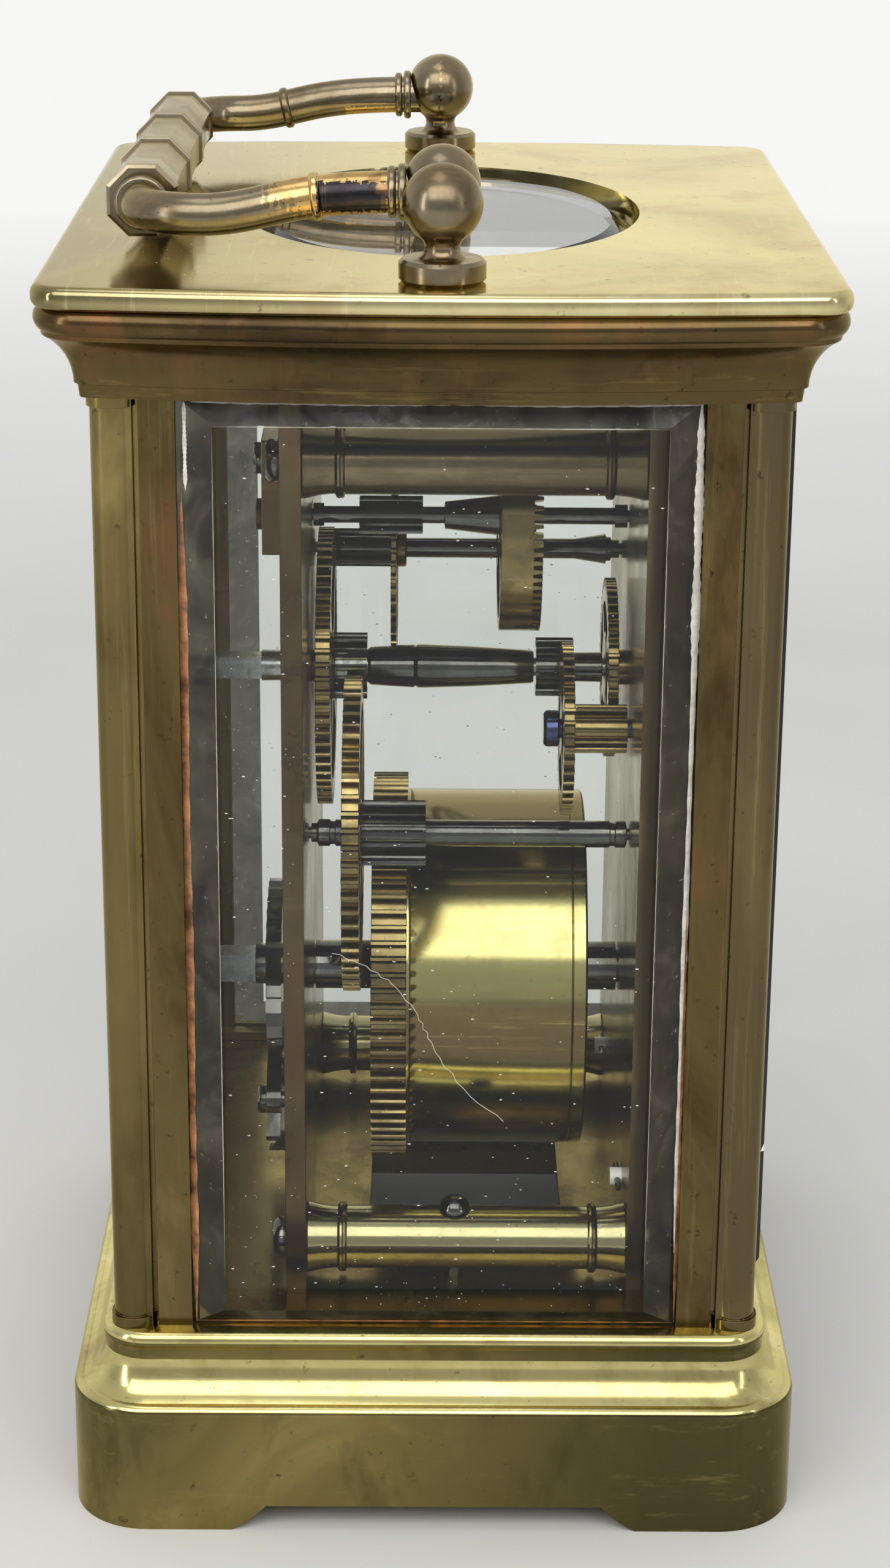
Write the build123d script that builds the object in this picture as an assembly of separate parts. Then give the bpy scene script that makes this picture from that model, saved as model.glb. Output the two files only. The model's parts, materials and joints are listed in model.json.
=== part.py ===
from build123d import *
from math import atan2, cos, degrees, pi, radians, sin, sqrt
import os

# Glazed carriage clock, in mm. The dial faces -Y, +Z is up, and the origin is the middle of the base.
# The side seen in the photo faces -X.

# Fits
SEAT_GAP = 0.1
RUN_FIT = 0.05
BORE_FIT = 0.03

# Plinth
PLINTH_HALF_X = 40.0
PLINTH_HALF_Y = 33.3
PLINTH_PATH_INSET = 5.7
PLINTH_PATH_R = 1.3
LEDGE_Z = 12.6
SHOULDER_Z = 18.6
SHOULDER_INSET = 3.4
PLINTH_WALL_INSET = 8.2
FLOOR_TOP_Z = 17.6
FLOOR_THICK = 2.0
FLOOR_LEDGE = 2.2
APRON_HEIGHT = 2.5
APRON_FOOT_Y = 14.7
APRON_FOOT_X = 14.7
APRON_CURVE = 3.2
FLOOR_SLOT_HALF_X = 8.0
FLOOR_SLOT_BACK_Y = 6.3
FLOOR_SLOT_FRONT_Y = -12.5

# Posts
POST_HALF_X = 35.8
POST_HALF_Y = 29.3
POST_TOP_Z = 105.2
COLUMN_WIDTH = 3.6
COLUMN_R = 1.8
GROOVE_WIDTH = 0.5
GROOVE_DEPTH = 0.9
STRIP_STEP = 0.5
LIP_THICK = 0.6
POST_REACH = 7.2
SLOT_DEPTH = 1.9
BACK_LIP = 1.0
FOOT_PAD_HEIGHT = 1.0
FOOT_PAD_OUT = 0.25

# Glasses
SIDE_GLASS_THICK = 2.85
SIDE_GLASS_OUT = 0.5
FRONT_GLASS_THICK = 3.4
FRONT_GLASS_OUT = 1.3
GLASS_EDGE_IN = 1.6
BEVEL_WIDTH = 3.1
BEVEL_END = 2.1

# Cornice and top plate
TOP_Z = 115.0
PLATE_THICK = 2.0
PLATE_HALF_X = 40.0
PLATE_HALF_Y = 33.5
PLATE_CORNER_R = 3.0
PLATE_LIP_R = 0.8
SIDE_BOW = 2.0
CORNICE_INSET = 3.6
CORNICE_CORNER_R = 1.0
CORNICE_FASCIA = 1.1
COVE_TOP = 5.3
COVE_OUT = 3.0
OVOLO_OUT = 3.4
CORNICE_OPEN_X = 31.5
CORNICE_OPEN_Y = 25.0
OVAL_HALF_X = 25.0
OVAL_HALF_Y = 18.2
OVAL_GLASS_EDGE = 1.4
OVAL_GLASS_LIP = 1.3
OVAL_GLASS_RISE = 1.4
OVAL_BEVEL = 2.5
OVAL_RING_HEIGHT = 1.2
OVAL_RING_OUT = 2.6
OVAL_RING_IN = 1.0

# Case screws
POST_SCREW_IN_X = 2.3
POST_SCREW_IN_Y = 2.3
POST_SCREW_R = 0.9
POST_SCREW_HEAD_R = 1.6
POST_SCREW_HEAD = 1.2
POST_SCREW_DEPTH = 6.0
LOW_SCREW_HEAD_Z = 10.0
HIGH_SCREW_HEAD_Z = 109.0

# Rear door
DOOR_SIDE_GAP = 0.1
DOOR_BOTTOM_Z = 19.0
DOOR_TOP_Z = 104.8
DOOR_THICK = 2.6
DOOR_OUTER_Y = 29.0
DOOR_FRAME = 3.3
DOOR_GROOVE = 1.3
DOOR_GROOVE_DEPTH = 1.2
DOOR_GLASS_RISE = 0.5
DOOR_PIN_R = 0.8
DOOR_PIN_LENGTH = 2.6
KNOB_Z = 62.0
KNOB_R = 1.6
KNOB_IN = 1.3
KNOB_LENGTH = 3.2

# Handle
PIVOT_X = 36.0
PIVOT_Z = 121.3
FOOT_R = 3.6
FOOT_HEIGHT = 1.9
NECK_R = 1.5
NECK_LOW = 2.4
NECK_HIGH = 3.8
POST_BALL_R = 3.3
TAIL_R = 1.0
TAIL_LENGTH = 7.0
ARM_X = 30.2
ARM_BALL_R = 3.15
ARM_BALL_RISE = 0.8
BALL_SPLIT_X = 32.9
PIVOT_PIN_R = 1.0
PIVOT_PIN_LENGTH = 5.0
ARM_R = 1.75
COLLAR_Y = 3.3
COLLAR_R = 2.35
COLLAR_STEP = 0.2
COLLAR_WIDTH = 0.7
COLLAR_SPACE = 0.85
KNUCKLE_LEFT_Y = 10.4
KNUCKLE_RIGHT_Y = 15.4
KNUCKLE_R = 2.0
KNUCKLE_WIDTH = 0.9
SAG_Y = 12.5
SAG_DEPTH = 0.75
GRIP_Y = 25.4
GRIP_Z = 119.3
GRIP_HALF = 23.6
BEND_R = 5.6
GRIP_COLLAR_R = 2.3
GRIP_RIM = 6.1
GRIP_WAIST = 5.5
GRIP_PARTS = 3
GRIP_RIM_WIDTH = 1.3
TANG_R = 1.2
TANG_LENGTH = 4.0

# Movement frame
BACK_PLATE_IN_Y = 12.0
BACK_PLATE_OUT_Y = 13.9
FRONT_PLATE_IN_Y = -18.0
FRONT_PLATE_OUT_Y = -19.9
PLATE_WIDE = 53.0
MOVEMENT_TOP_Z = 101.0
PILLAR_X = 22.5
UPPER_PILLAR_Z = 96.8
LOWER_PILLAR_Z = 21.5
PILLAR_R = 2.95
PILLAR_END_R = 3.35
PILLAR_RING_R = 3.3
PILLAR_RING_WIDTH = 0.7
PILLAR_RING_BACK = 3.3
PILLAR_RING_FRONT = 3.0
PILLAR_SCREW_R = 0.9
PILLAR_SCREW_HEAD_R = 1.9
PILLAR_SCREW_HEAD = 1.3
PILLAR_SCREW_DEPTH = 4.0
HOLD_SCREW_Y = -1.9
HOLD_SCREW_HEAD_R = 1.45
HOLD_SCREW_R = 0.8
COCK_HALF_X = 3.6
COCK_LOW_Z = 83.0
COCK_HIGH_Z = 94.0
COCK_OUT_Y = 16.6
COCK_SCREW_Z = 91.5
COCK_SCREW_R = 0.75
COCK_SCREW_HEAD_R = 1.5
COCK_SCREW_HEAD = 0.9
COCK_BOSS_R = 1.5

# Train: axis places, teeth, modules and wheel widths
BARREL_X = 0.0
BARREL_Z = 40.05
INTER_X = -11.5
THIRD_X = 11.76
MINUTE_X = -9.9
GREAT_TEETH = 80
GREAT_MODULE = 0.467
INTER_PINION_TEETH = 12
INTER_TEETH = 60
INTER_MODULE = 0.48
CENTRE_PINION_TEETH = 12
CENTRE_TEETH = 64
CENTRE_MODULE = 0.404
THIRD_PINION_TEETH = 8
THIRD_TEETH = 60
THIRD_MODULE = 0.394
CONTRATE_PINION_TEETH = 8
CONTRATE_TEETH = 78
CANNON_TEETH = 14
MINUTE_TEETH = 42
CANNON_MODULE = 0.369
MINUTE_PINION_TEETH = 12
HOUR_TEETH = 48
WHEEL_ADDENDUM = 0.95
WHEEL_DEDENDUM = 1.15
WHEEL_TOOTH_HALF = 0.75
WHEEL_TIP_HALF = 0.30
LEAF_ADDENDUM = 0.65
LEAF_DEDENDUM = 1.35
LEAF_HALF = 0.56
LEAF_TIP_HALF = 0.25
SPOKES = 4
INTER_HUB_R = 3.2
CENTRE_HUB_R = 3.4
THIRD_HUB_R = 2.6
CONTRATE_HUB_R = 2.6
SPOKE_WIDTH = 1.3
RIM_WIDTH = 1.5
PIVOT_R = 0.55
PIVOT_SHOULDER = 0.15

# Barrel and winding work
GREAT_BACK_Y = 6.15
GREAT_FRONT_Y = 2.8
DRUM_R = 17.5
DRUM_FRONT_Y = -14.3
DRUM_WALL = 1.0
DRUM_COVER = 1.0
BARREL_ARBOR_R = 2.4
BARREL_FRONT_PIVOT_R = 1.6
BARREL_BACK_PIVOT_R = 2.0
HOOK_SCREW_R = 0.65
HOOK_SCREW_REACH = 20.0
HOOK_SCREW_Y = -0.1
SQUARE_BACK_Y = 21.7
SQUARE_START_Y = 17.8
SQUARE_HALF = 1.4
RATCHET_BACK_Y = 16.5
RATCHET_FRONT_Y = 15.0
RATCHET_R = 8.5
RATCHET_ROOT_R = 7.5
RATCHET_TEETH = 30
SPRING_INNER_R = 3.6
SPRING_OUTER_R = 15.9
SPRING_TURNS = 7
SPRING_THICK = 0.5
CLICK_X = -9.0
CLICK_Z = 29.5
CLICK_R = 1.9
CLICK_THICK = 1.4
CLICK_STUD_R = 0.85
CLICK_SCREW_HEAD_R = 1.4
CLICK_SCREW_HEAD = 0.8
CLICK_GAP = 0.25
CLICK_SPRING_THICK = 0.5
CLICK_SPRING_WIDE = 1.6
CLICK_SPRING_HIGH = 2.2
CLICK_SPRING_FOOT_R = 1.6
SPRING_SCREW_HEAD_R = 1.3
SPRING_SCREW_HEAD = 0.8
CLICK_SPRING_FOOT_X = 7.0
CLICK_SPRING_FOOT_Z = 25.5
CLICK_SPRING_TIP_X = -11.2
CLICK_SPRING_TIP_Z = 25.0

# Intermediate arbor
INTER_WHEEL_BACK_Y = 8.7
INTER_WHEEL_FRONT_Y = 7.1
INTER_PINION_BACK_Y = 7.1
INTER_PINION_FRONT_Y = 1.06
INTER_ARBOR_R = 1.27

# Centre arbor and the hand-setting arbor inside it
CENTRE_WHEEL_BACK_Y = 11.4
CENTRE_WHEEL_FRONT_Y = 10.0
CENTRE_PINION_FRONT_Y = 6.76
CENTRE_PIPE_FRONT_Y = -9.2
CENTRE_PIPE_R = 1.6
CENTRE_PIPE_WAIST_R = 2.1
CENTRE_PIPE_WAIST_Y = 1.3
CENTRE_BORE_R = 0.95
HAND_ARBOR_R = 0.9
HAND_SQUARE_BACK_Y = 21.5
HAND_SQUARE_FRONT_Y = 16.9
HAND_SQUARE_HALF = 1.05
HAND_COLLAR_R = 1.5
CANNON_BACK_Y = -9.4
CANNON_FRONT_Y = -13.0
CANNON_PIPE_R = 1.45
CROSS_PIN_Y = -15.4
CROSS_PIN_R = 0.3
CROSS_PIN_HALF = 1.6

# Third and contrate arbors
THIRD_PINION_BACK_Y = 11.6
THIRD_PINION_FRONT_Y = 4.55
THIRD_WHEEL_FRONT_Y = 4.0
THIRD_COLLET_FRONT_Y = 3.1
THIRD_COLLET_R = 1.9
THIRD_ARBOR_R = 1.0
THIRD_TAPER_BACK_Y = -13.5
THIRD_TAPER_FRONT_Y = -16.5
THIRD_TAPER_R = 1.5
CONTRATE_PINION_BACK_Y = 7.5
CONTRATE_PINION_FRONT_Y = 1.5
CONTRATE_COLLET_BACK_Y = -0.6
CONTRATE_COLLET_R = 1.9
CONTRATE_COLLET_LOW_R = 1.3
CONTRATE_WHEEL_BACK_Y = -5.7
CONTRATE_RIM_FRONT_Y = -8.7
CONTRATE_TOOTH_FRONT_Y = -9.6
CONTRATE_R = 10.9
CONTRATE_RIM = 1.2
CONTRATE_WEB = 1.1
CONTRATE_ARBOR_R = 0.8
COLLAR_NEAR_PLATE_R = 1.1

# Motion work and dial
STUD_R = 0.9
STUD_HEAD_R = 1.7
STUD_HEAD_BACK_Y = -9.9
STUD_HEAD_FRONT_Y = -11.45
MINUTE_WHEEL_BACK_Y = -11.55
MINUTE_WHEEL_FRONT_Y = -12.56
MINUTE_PINION_FRONT_Y = -17.7
HOUR_WHEEL_BACK_Y = -16.0
HOUR_WHEEL_FRONT_Y = -17.0
HOUR_PIPE_R = 1.7
HOUR_PIPE_BORE_R = 1.1
DIAL_HALF_X = 27.75
DIAL_LOW_Z = 20.3
DIAL_HIGH_Z = 103.3
DIAL_BACK_Y = -24.0
DIAL_FRONT_Y = -25.2
DIAL_HOLE_R = 2.3
DIAL_FOOT_X = 15.5
DIAL_FOOT_LOW_Z = 24.5
DIAL_FOOT_HIGH_Z = 96.5
DIAL_FOOT_R = 0.9
DIAL_COLLAR_R = 1.5
DIAL_FOOT_END_Y = -16.9
DIAL_PIN_Y = -17.6
DIAL_PIN_R = 0.3
DIAL_PIN_LENGTH = 5.0
HAND_THICK = 0.35
HOUR_HAND_Y = -25.75
MINUTE_HAND_Y = -26.35
HOUR_HAND_LENGTH = 14.0
MINUTE_HAND_LENGTH = 21.0
HOUR_HAND_ANGLE = 305.0
MINUTE_HAND_ANGLE = 60.0
HAND_WIDTH = 1.5
HAND_TIP_WIDTH = 0.4
HAND_MOON_R = 1.5
HOUR_BOSS_R = 2.6
HOUR_MOON_SHARE = 0.68
MINUTE_BOSS_R = 1.7
MINUTE_MOON_SHARE = 0.75

# Platform escapement
PLATFORM_THICK = 1.2
PLATFORM_HALF_X = 15.0
PLATFORM_SCREW_X = 12.0
PLATFORM_SCREW_R = 0.6
PLATFORM_SCREW_HEAD_R = 1.1
PLATFORM_SCREW_HEAD = 0.6
ESCAPE_Y = -10.9
LEVER_Y = -4.4
BALANCE_Y = 3.4
ESCAPE_R = 4.2
ESCAPE_TEETH = 15
ESCAPE_ROOT_R = 3.02
ESCAPE_RIM_R = 2.44
ESCAPE_HUB_R = 1.3
ESCAPE_THICK = 0.5
ESCAPE_PINION_R = 1.05
ESCAPE_PINION_TEETH = 7
ESCAPE_PINION_LOW_Z = 94.0
ESCAPE_PINION_HIGH_Z = 99.5
ESCAPE_WHEEL_Z = 103.4
LEVER_THICK = 0.8
LEVER_LENGTH = 5.2
LEVER_STEM = 0.7
LEVER_ARM = 0.9
LEVER_HUB_R = 1.1
FORK_WIDE = 1.7
FORK_GAP = 0.5
PALLET_HALF = 4.9
PALLET_WIDE = 0.7
PALLET_LONG = 2.2
BALANCE_R = 7.2
BALANCE_RIM = 0.9
BALANCE_Z = 106.0
BALANCE_THICK = 0.9
BALANCE_ARM = 1.1
BALANCE_HUB_R = 1.3
STAFF_R = 0.45
STAFF_HIGH_Z = 109.7
ROLLER_R = 1.4
ROLLER_Z = 104.7
ROLLER_THICK = 0.5
HAIR_INNER_R = 1.3
HAIR_OUTER_R = 4.2
HAIR_TURNS = 4.5
HAIR_THICK = 0.12
HAIR_HEIGHT = 0.35
HAIR_Z = 107.6
BALANCE_COCK_Z = 108.6
BALANCE_COCK_THICK = 1.2
BALANCE_COCK_HALF_X = 2.6
BALANCE_COCK_FOOT_Y = 11.4

# Worked out from the values above
PLATE_UNDER_Z = TOP_Z - PLATE_THICK
PLATFORM_TOP_Z = MOVEMENT_TOP_Z + PLATFORM_THICK
STRIP_HALF_X = POST_HALF_X - STRIP_STEP
STRIP_HALF_Y = POST_HALF_Y - STRIP_STEP
POST_EDGE_X = POST_HALF_X - POST_REACH
POST_EDGE_Y = POST_HALF_Y - POST_REACH
DOOR_HALF_X = POST_EDGE_X - DOOR_SIDE_GAP
CORNICE_HALF_X = PLATE_HALF_X - CORNICE_INSET
CORNICE_HALF_Y = PLATE_HALF_Y - CORNICE_INSET


def mesh_distance(module, wheel_teeth, pinion_teeth):
    return module * (wheel_teeth + pinion_teeth) / 2


def rise(distance, across):
    return sqrt(distance ** 2 - across ** 2)


INTER_Z = BARREL_Z + rise(mesh_distance(GREAT_MODULE, GREAT_TEETH, INTER_PINION_TEETH), INTER_X)
CENTRE_Z = INTER_Z + rise(mesh_distance(INTER_MODULE, INTER_TEETH, CENTRE_PINION_TEETH), INTER_X)
THIRD_Z = CENTRE_Z + rise(mesh_distance(CENTRE_MODULE, CENTRE_TEETH, THIRD_PINION_TEETH), THIRD_X)
CONTRATE_Z = THIRD_Z + rise(mesh_distance(THIRD_MODULE, THIRD_TEETH, CONTRATE_PINION_TEETH), THIRD_X)
MINUTE_DISTANCE = mesh_distance(CANNON_MODULE, CANNON_TEETH, MINUTE_TEETH)
MINUTE_Z = CENTRE_Z - rise(MINUTE_DISTANCE, MINUTE_X)
HOUR_MODULE = 2 * MINUTE_DISTANCE / (MINUTE_PINION_TEETH + HOUR_TEETH)
BARREL_AXIS = (BARREL_X, BARREL_Z)
INTER_AXIS = (INTER_X, INTER_Z)
CENTRE_AXIS = (0.0, CENTRE_Z)
THIRD_AXIS = (THIRD_X, THIRD_Z)
CONTRATE_AXIS = (0.0, CONTRATE_Z)
MINUTE_AXIS = (MINUTE_X, MINUTE_Z)


def direction(here, there):
    """Angle in degrees, in the front view, of the line from one axis to another."""
    return degrees(atan2(there[1] - here[1], there[0] - here[0]))


def tooth_points(teeth, rings, phase):
    """Corner points of a toothed outline; rings lists (radius, half thickness) up one flank."""
    step = 2 * pi / teeth
    points = []
    for tooth in range(teeth):
        middle = radians(phase) + tooth * step
        for radius, half in rings:
            turn = middle - half / radius
            points.append((radius * cos(turn), radius * sin(turn)))
        for radius, half in reversed(rings):
            turn = middle + half / radius
            points.append((radius * cos(turn), radius * sin(turn)))
    return points


def wheel_points(teeth, module, toward):
    """Wheel outline with a tooth gap on the line toward its pinion."""
    pitch_r = module * teeth / 2
    rings = [
        (pitch_r - WHEEL_DEDENDUM * module, WHEEL_TOOTH_HALF * module),
        (pitch_r, WHEEL_TOOTH_HALF * module),
        (pitch_r + WHEEL_ADDENDUM * module, WHEEL_TIP_HALF * module),
    ]
    return tooth_points(teeth, rings, toward + 180 / teeth)


def pinion_points(teeth, module, toward):
    """Pinion outline with a leaf on the line toward its wheel."""
    pitch_r = module * teeth / 2
    root_r = pitch_r - LEAF_DEDENDUM * module
    rings = [
        (root_r, LEAF_HALF * module * root_r / pitch_r),
        (pitch_r, LEAF_HALF * module),
        (pitch_r + LEAF_ADDENDUM * module, LEAF_TIP_HALF * module),
    ]
    return tooth_points(teeth, rings, toward)


def flat(points):
    """Face inside a closed run of points."""
    return make_face(Polyline(points, close=True))


def front_view(axis, back_y, sketch, depth):
    """Sketch drawn as seen from the front, pushed forward from back_y."""
    plane = Plane(origin=(axis[0], back_y, axis[1]), x_dir=(1, 0, 0), z_dir=(0, -1, 0))
    return extrude(plane * sketch, amount=depth)


def rod(axis, back_y, front_y, radius):
    return front_view(axis, back_y, Circle(radius), back_y - front_y)


def taper(axis, back_y, front_y, back_r, front_r):
    middle = (axis[0], (back_y + front_y) / 2, axis[1])
    return Location(middle, (90, 0, 0)) * Cone(back_r, front_r, back_y - front_y)


def block(x_range, y_range, z_range):
    sizes = [x_range[1] - x_range[0], y_range[1] - y_range[0], z_range[1] - z_range[0]]
    centre = [(pair[0] + pair[1]) / 2 for pair in (x_range, y_range, z_range)]
    return Pos(*centre) * Box(*sizes)


def upright(x, y, low_z, high_z, radius):
    return Pos(x, y, (low_z + high_z) / 2) * Cylinder(radius, high_z - low_z)


def bowed(half_x, half_y, bow, corner_r):
    """Plan outline with rounded corners whose two X sides bow outward."""
    corners = [(-half_x, -half_y), (half_x, -half_y), (half_x, half_y), (-half_x, half_y)]
    front = Line(corners[0], corners[1])
    right = ThreePointArc(corners[1], (half_x + bow, 0), corners[2])
    back = Line(corners[2], corners[3])
    left = ThreePointArc(corners[3], (-half_x - bow, 0), corners[0])
    face = make_face([front, right, back, left])
    return fillet(face.vertices(), corner_r)


def moulding(outline, section):
    """Section, drawn outward and up, carried round an outline."""
    path = outline.faces()[0].outer_wire()
    start = path.position_at(0)
    along = path.tangent_at(0)
    plane = Plane(origin=start, x_dir=along.cross(Vector(0, 0, 1)), z_dir=-along)
    return sweep(plane * section, path=path)


def plinth_section():
    out = PLINTH_PATH_INSET
    inner = out - SHOULDER_INSET
    lines = [
        Line((-PLINTH_PATH_R / 2, 0), (out, 0)),
        Line((out, 0), (out, LEDGE_Z - 0.9)),
        ThreePointArc((out, LEDGE_Z - 0.9), (out - 0.25, LEDGE_Z - 0.25), (out - 0.9, LEDGE_Z)),
        ThreePointArc((out - 0.9, LEDGE_Z), (inner + 0.95, LEDGE_Z + 1.6), (inner + 0.5, SHOULDER_Z - 1.4)),
        ThreePointArc((inner + 0.5, SHOULDER_Z - 1.4), (inner + 0.55, SHOULDER_Z - 0.5), (inner, SHOULDER_Z)),
        Line((inner, SHOULDER_Z), (-PLINTH_PATH_R / 2, SHOULDER_Z)),
        Line((-PLINTH_PATH_R / 2, SHOULDER_Z), (-PLINTH_PATH_R / 2, 0)),
    ]
    return make_face(lines)


def apron_cut(plane, half_length, reach):
    """Low opening under two opposite sides, with curved ends, pushed both ways from a middle plane."""
    flat_half = half_length - APRON_CURVE
    low = -1.0
    bend = (half_length - APRON_CURVE * 0.45, APRON_HEIGHT * 0.35)
    lines = [
        Line((-half_length, low), (half_length, low)),
        Line((half_length, low), (half_length, 0)),
        ThreePointArc((half_length, 0), bend, (flat_half, APRON_HEIGHT)),
        Line((flat_half, APRON_HEIGHT), (-flat_half, APRON_HEIGHT)),
        ThreePointArc((-flat_half, APRON_HEIGHT), (-bend[0], bend[1]), (-half_length, 0)),
        Line((-half_length, 0), (-half_length, low)),
    ]
    return extrude(plane * make_face(lines), amount=reach, both=True)


def post_screw_places():
    x = POST_HALF_X - POST_SCREW_IN_X
    y = POST_HALF_Y - POST_SCREW_IN_Y
    return [(-x, -y), (x, -y), (x, y), (-x, y)]


def base_plinth():
    path_x = PLINTH_HALF_X - PLINTH_PATH_INSET
    path_y = PLINTH_HALF_Y - PLINTH_PATH_INSET
    outline = RectangleRounded(2 * path_x, 2 * path_y, PLINTH_PATH_R)
    body = moulding(outline, plinth_section())
    wall_x = PLINTH_HALF_X - PLINTH_WALL_INSET
    wall_y = PLINTH_HALF_Y - PLINTH_WALL_INSET
    lower = Rectangle(2 * path_x, 2 * path_y) - Rectangle(2 * (wall_x - FLOOR_LEDGE), 2 * (wall_y - FLOOR_LEDGE))
    upper = Rectangle(2 * path_x, 2 * path_y) - Rectangle(2 * wall_x, 2 * wall_y)
    ledge_z = FLOOR_TOP_Z - FLOOR_THICK
    body += extrude(lower, amount=ledge_z)
    body += Pos(0, 0, ledge_z) * extrude(upper, amount=SHOULDER_Z - ledge_z)
    side = PLINTH_HALF_Y - APRON_FOOT_Y
    front = PLINTH_HALF_X - APRON_FOOT_X
    body -= apron_cut(Plane.YZ, side, PLINTH_HALF_X + 1)
    body -= apron_cut(Plane.XZ, front, PLINTH_HALF_Y + 1)
    for x, y in post_screw_places():
        body -= upright(x, y, -1, LOW_SCREW_HEAD_Z + POST_SCREW_HEAD, POST_SCREW_HEAD_R + SEAT_GAP)
        body -= upright(x, y, LOW_SCREW_HEAD_Z, SHOULDER_Z + 1, POST_SCREW_R + BORE_FIT)
    pivot_x, pivot_y = door_axis()
    body -= upright(pivot_x, pivot_y, DOOR_BOTTOM_Z - DOOR_PIN_LENGTH - 0.3, SHOULDER_Z + 1, DOOR_PIN_R + RUN_FIT)
    return body


def base_floor():
    x = PLINTH_HALF_X - PLINTH_WALL_INSET - SEAT_GAP
    y = PLINTH_HALF_Y - PLINTH_WALL_INSET - SEAT_GAP
    z = FLOOR_TOP_Z - FLOOR_THICK
    floor = block((-x, x), (-y, y), (z, FLOOR_TOP_Z))
    slot_x = (-FLOOR_SLOT_HALF_X, FLOOR_SLOT_HALF_X)
    floor -= block(slot_x, (FLOOR_SLOT_FRONT_Y, FLOOR_SLOT_BACK_Y), (z - 1, FLOOR_TOP_Z + 1))
    for x_side in (-PILLAR_X, PILLAR_X):
        floor -= upright(x_side, HOLD_SCREW_Y, z - 1, FLOOR_TOP_Z + 1, HOLD_SCREW_R + BORE_FIT)
    return floor


def post_plan(rear):
    """Plan of the post at the +X +Y corner: column, grooves, strips and the slots for the glass."""
    x_out = POST_HALF_X
    y_out = POST_HALF_Y
    side_glass_in = POST_HALF_X + SIDE_GLASS_OUT - SIDE_GLASS_THICK
    front_glass_in = POST_HALF_Y + FRONT_GLASS_OUT - FRONT_GLASS_THICK
    column_x = x_out - COLUMN_WIDTH / 2
    column_y = y_out - COLUMN_WIDTH / 2
    plan = Pos(column_x, column_y) * RectangleRounded(COLUMN_WIDTH, COLUMN_WIDTH, COLUMN_R - 0.05)
    side_in = side_glass_in - BACK_LIP
    front_in = front_glass_in - BACK_LIP
    rest_x = x_out - COLUMN_WIDTH / 2
    rest_y = y_out - COLUMN_WIDTH / 2
    side_leg = Pos((side_in + STRIP_HALF_X) / 2, (POST_EDGE_Y + rest_y) / 2)
    plan += side_leg * Rectangle(STRIP_HALF_X - side_in, rest_y - POST_EDGE_Y)
    front_leg = Pos((POST_EDGE_X + rest_x) / 2, (front_in + STRIP_HALF_Y) / 2)
    plan += front_leg * Rectangle(rest_x - POST_EDGE_X, STRIP_HALF_Y - front_in)
    groove_y = y_out - COLUMN_WIDTH - GROOVE_WIDTH / 2
    groove_x = x_out - COLUMN_WIDTH - GROOVE_WIDTH / 2
    plan -= Pos(STRIP_HALF_X, groove_y) * Rectangle(2 * GROOVE_DEPTH, GROOVE_WIDTH)
    plan -= Pos(groove_x, STRIP_HALF_Y) * Rectangle(GROOVE_WIDTH, 2 * GROOVE_DEPTH)
    side_slot_out = STRIP_HALF_X - LIP_THICK
    slot_mid = (side_glass_in - BORE_FIT + side_slot_out) / 2
    plan -= Pos(slot_mid, POST_EDGE_Y) * Rectangle(side_slot_out - side_glass_in + BORE_FIT, 2 * SLOT_DEPTH)
    if not rear:
        front_slot_out = STRIP_HALF_Y - LIP_THICK
        slot_mid = (front_glass_in - BORE_FIT + front_slot_out) / 2
        plan -= Pos(POST_EDGE_X, slot_mid) * Rectangle(2 * SLOT_DEPTH, front_slot_out - front_glass_in + BORE_FIT)
    return plan


def post(x_sign, y_sign):
    rear = y_sign > 0
    body = Pos(0, 0, SHOULDER_Z) * extrude(post_plan(rear), amount=POST_TOP_Z - SHOULDER_Z)
    column_x = POST_HALF_X - COLUMN_WIDTH / 2
    column_y = POST_HALF_Y - COLUMN_WIDTH / 2
    pad = RectangleRounded(COLUMN_WIDTH + 2 * FOOT_PAD_OUT, COLUMN_WIDTH + 2 * FOOT_PAD_OUT, COLUMN_R)
    for z in (SHOULDER_Z, POST_TOP_Z - FOOT_PAD_HEIGHT):
        body += Pos(column_x, column_y, z) * extrude(pad, amount=FOOT_PAD_HEIGHT)
    x = POST_HALF_X - POST_SCREW_IN_X
    y = POST_HALF_Y - POST_SCREW_IN_Y
    depth = POST_SCREW_DEPTH + SEAT_GAP
    body -= upright(x, y, SHOULDER_Z - 1, SHOULDER_Z + depth, POST_SCREW_R + BORE_FIT)
    body -= upright(x, y, POST_TOP_Z - depth, POST_TOP_Z + 1, POST_SCREW_R + BORE_FIT)
    if x_sign < 0:
        body = body.mirror(Plane.YZ)
    if y_sign < 0:
        body = body.mirror(Plane.XZ)
    return body


def post_screws():
    screws = []
    for x, y in post_screw_places():
        low = upright(x, y, LOW_SCREW_HEAD_Z, LOW_SCREW_HEAD_Z + POST_SCREW_HEAD, POST_SCREW_HEAD_R)
        low += upright(x, y, LOW_SCREW_HEAD_Z, SHOULDER_Z + POST_SCREW_DEPTH, POST_SCREW_R)
        high = upright(x, y, HIGH_SCREW_HEAD_Z, HIGH_SCREW_HEAD_Z + POST_SCREW_HEAD, POST_SCREW_HEAD_R)
        high += upright(x, y, POST_TOP_Z - POST_SCREW_DEPTH, HIGH_SCREW_HEAD_Z + 0.1, POST_SCREW_R)
        screws += [low.solid(), high.solid()]
    return Compound(children=screws)


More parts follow.
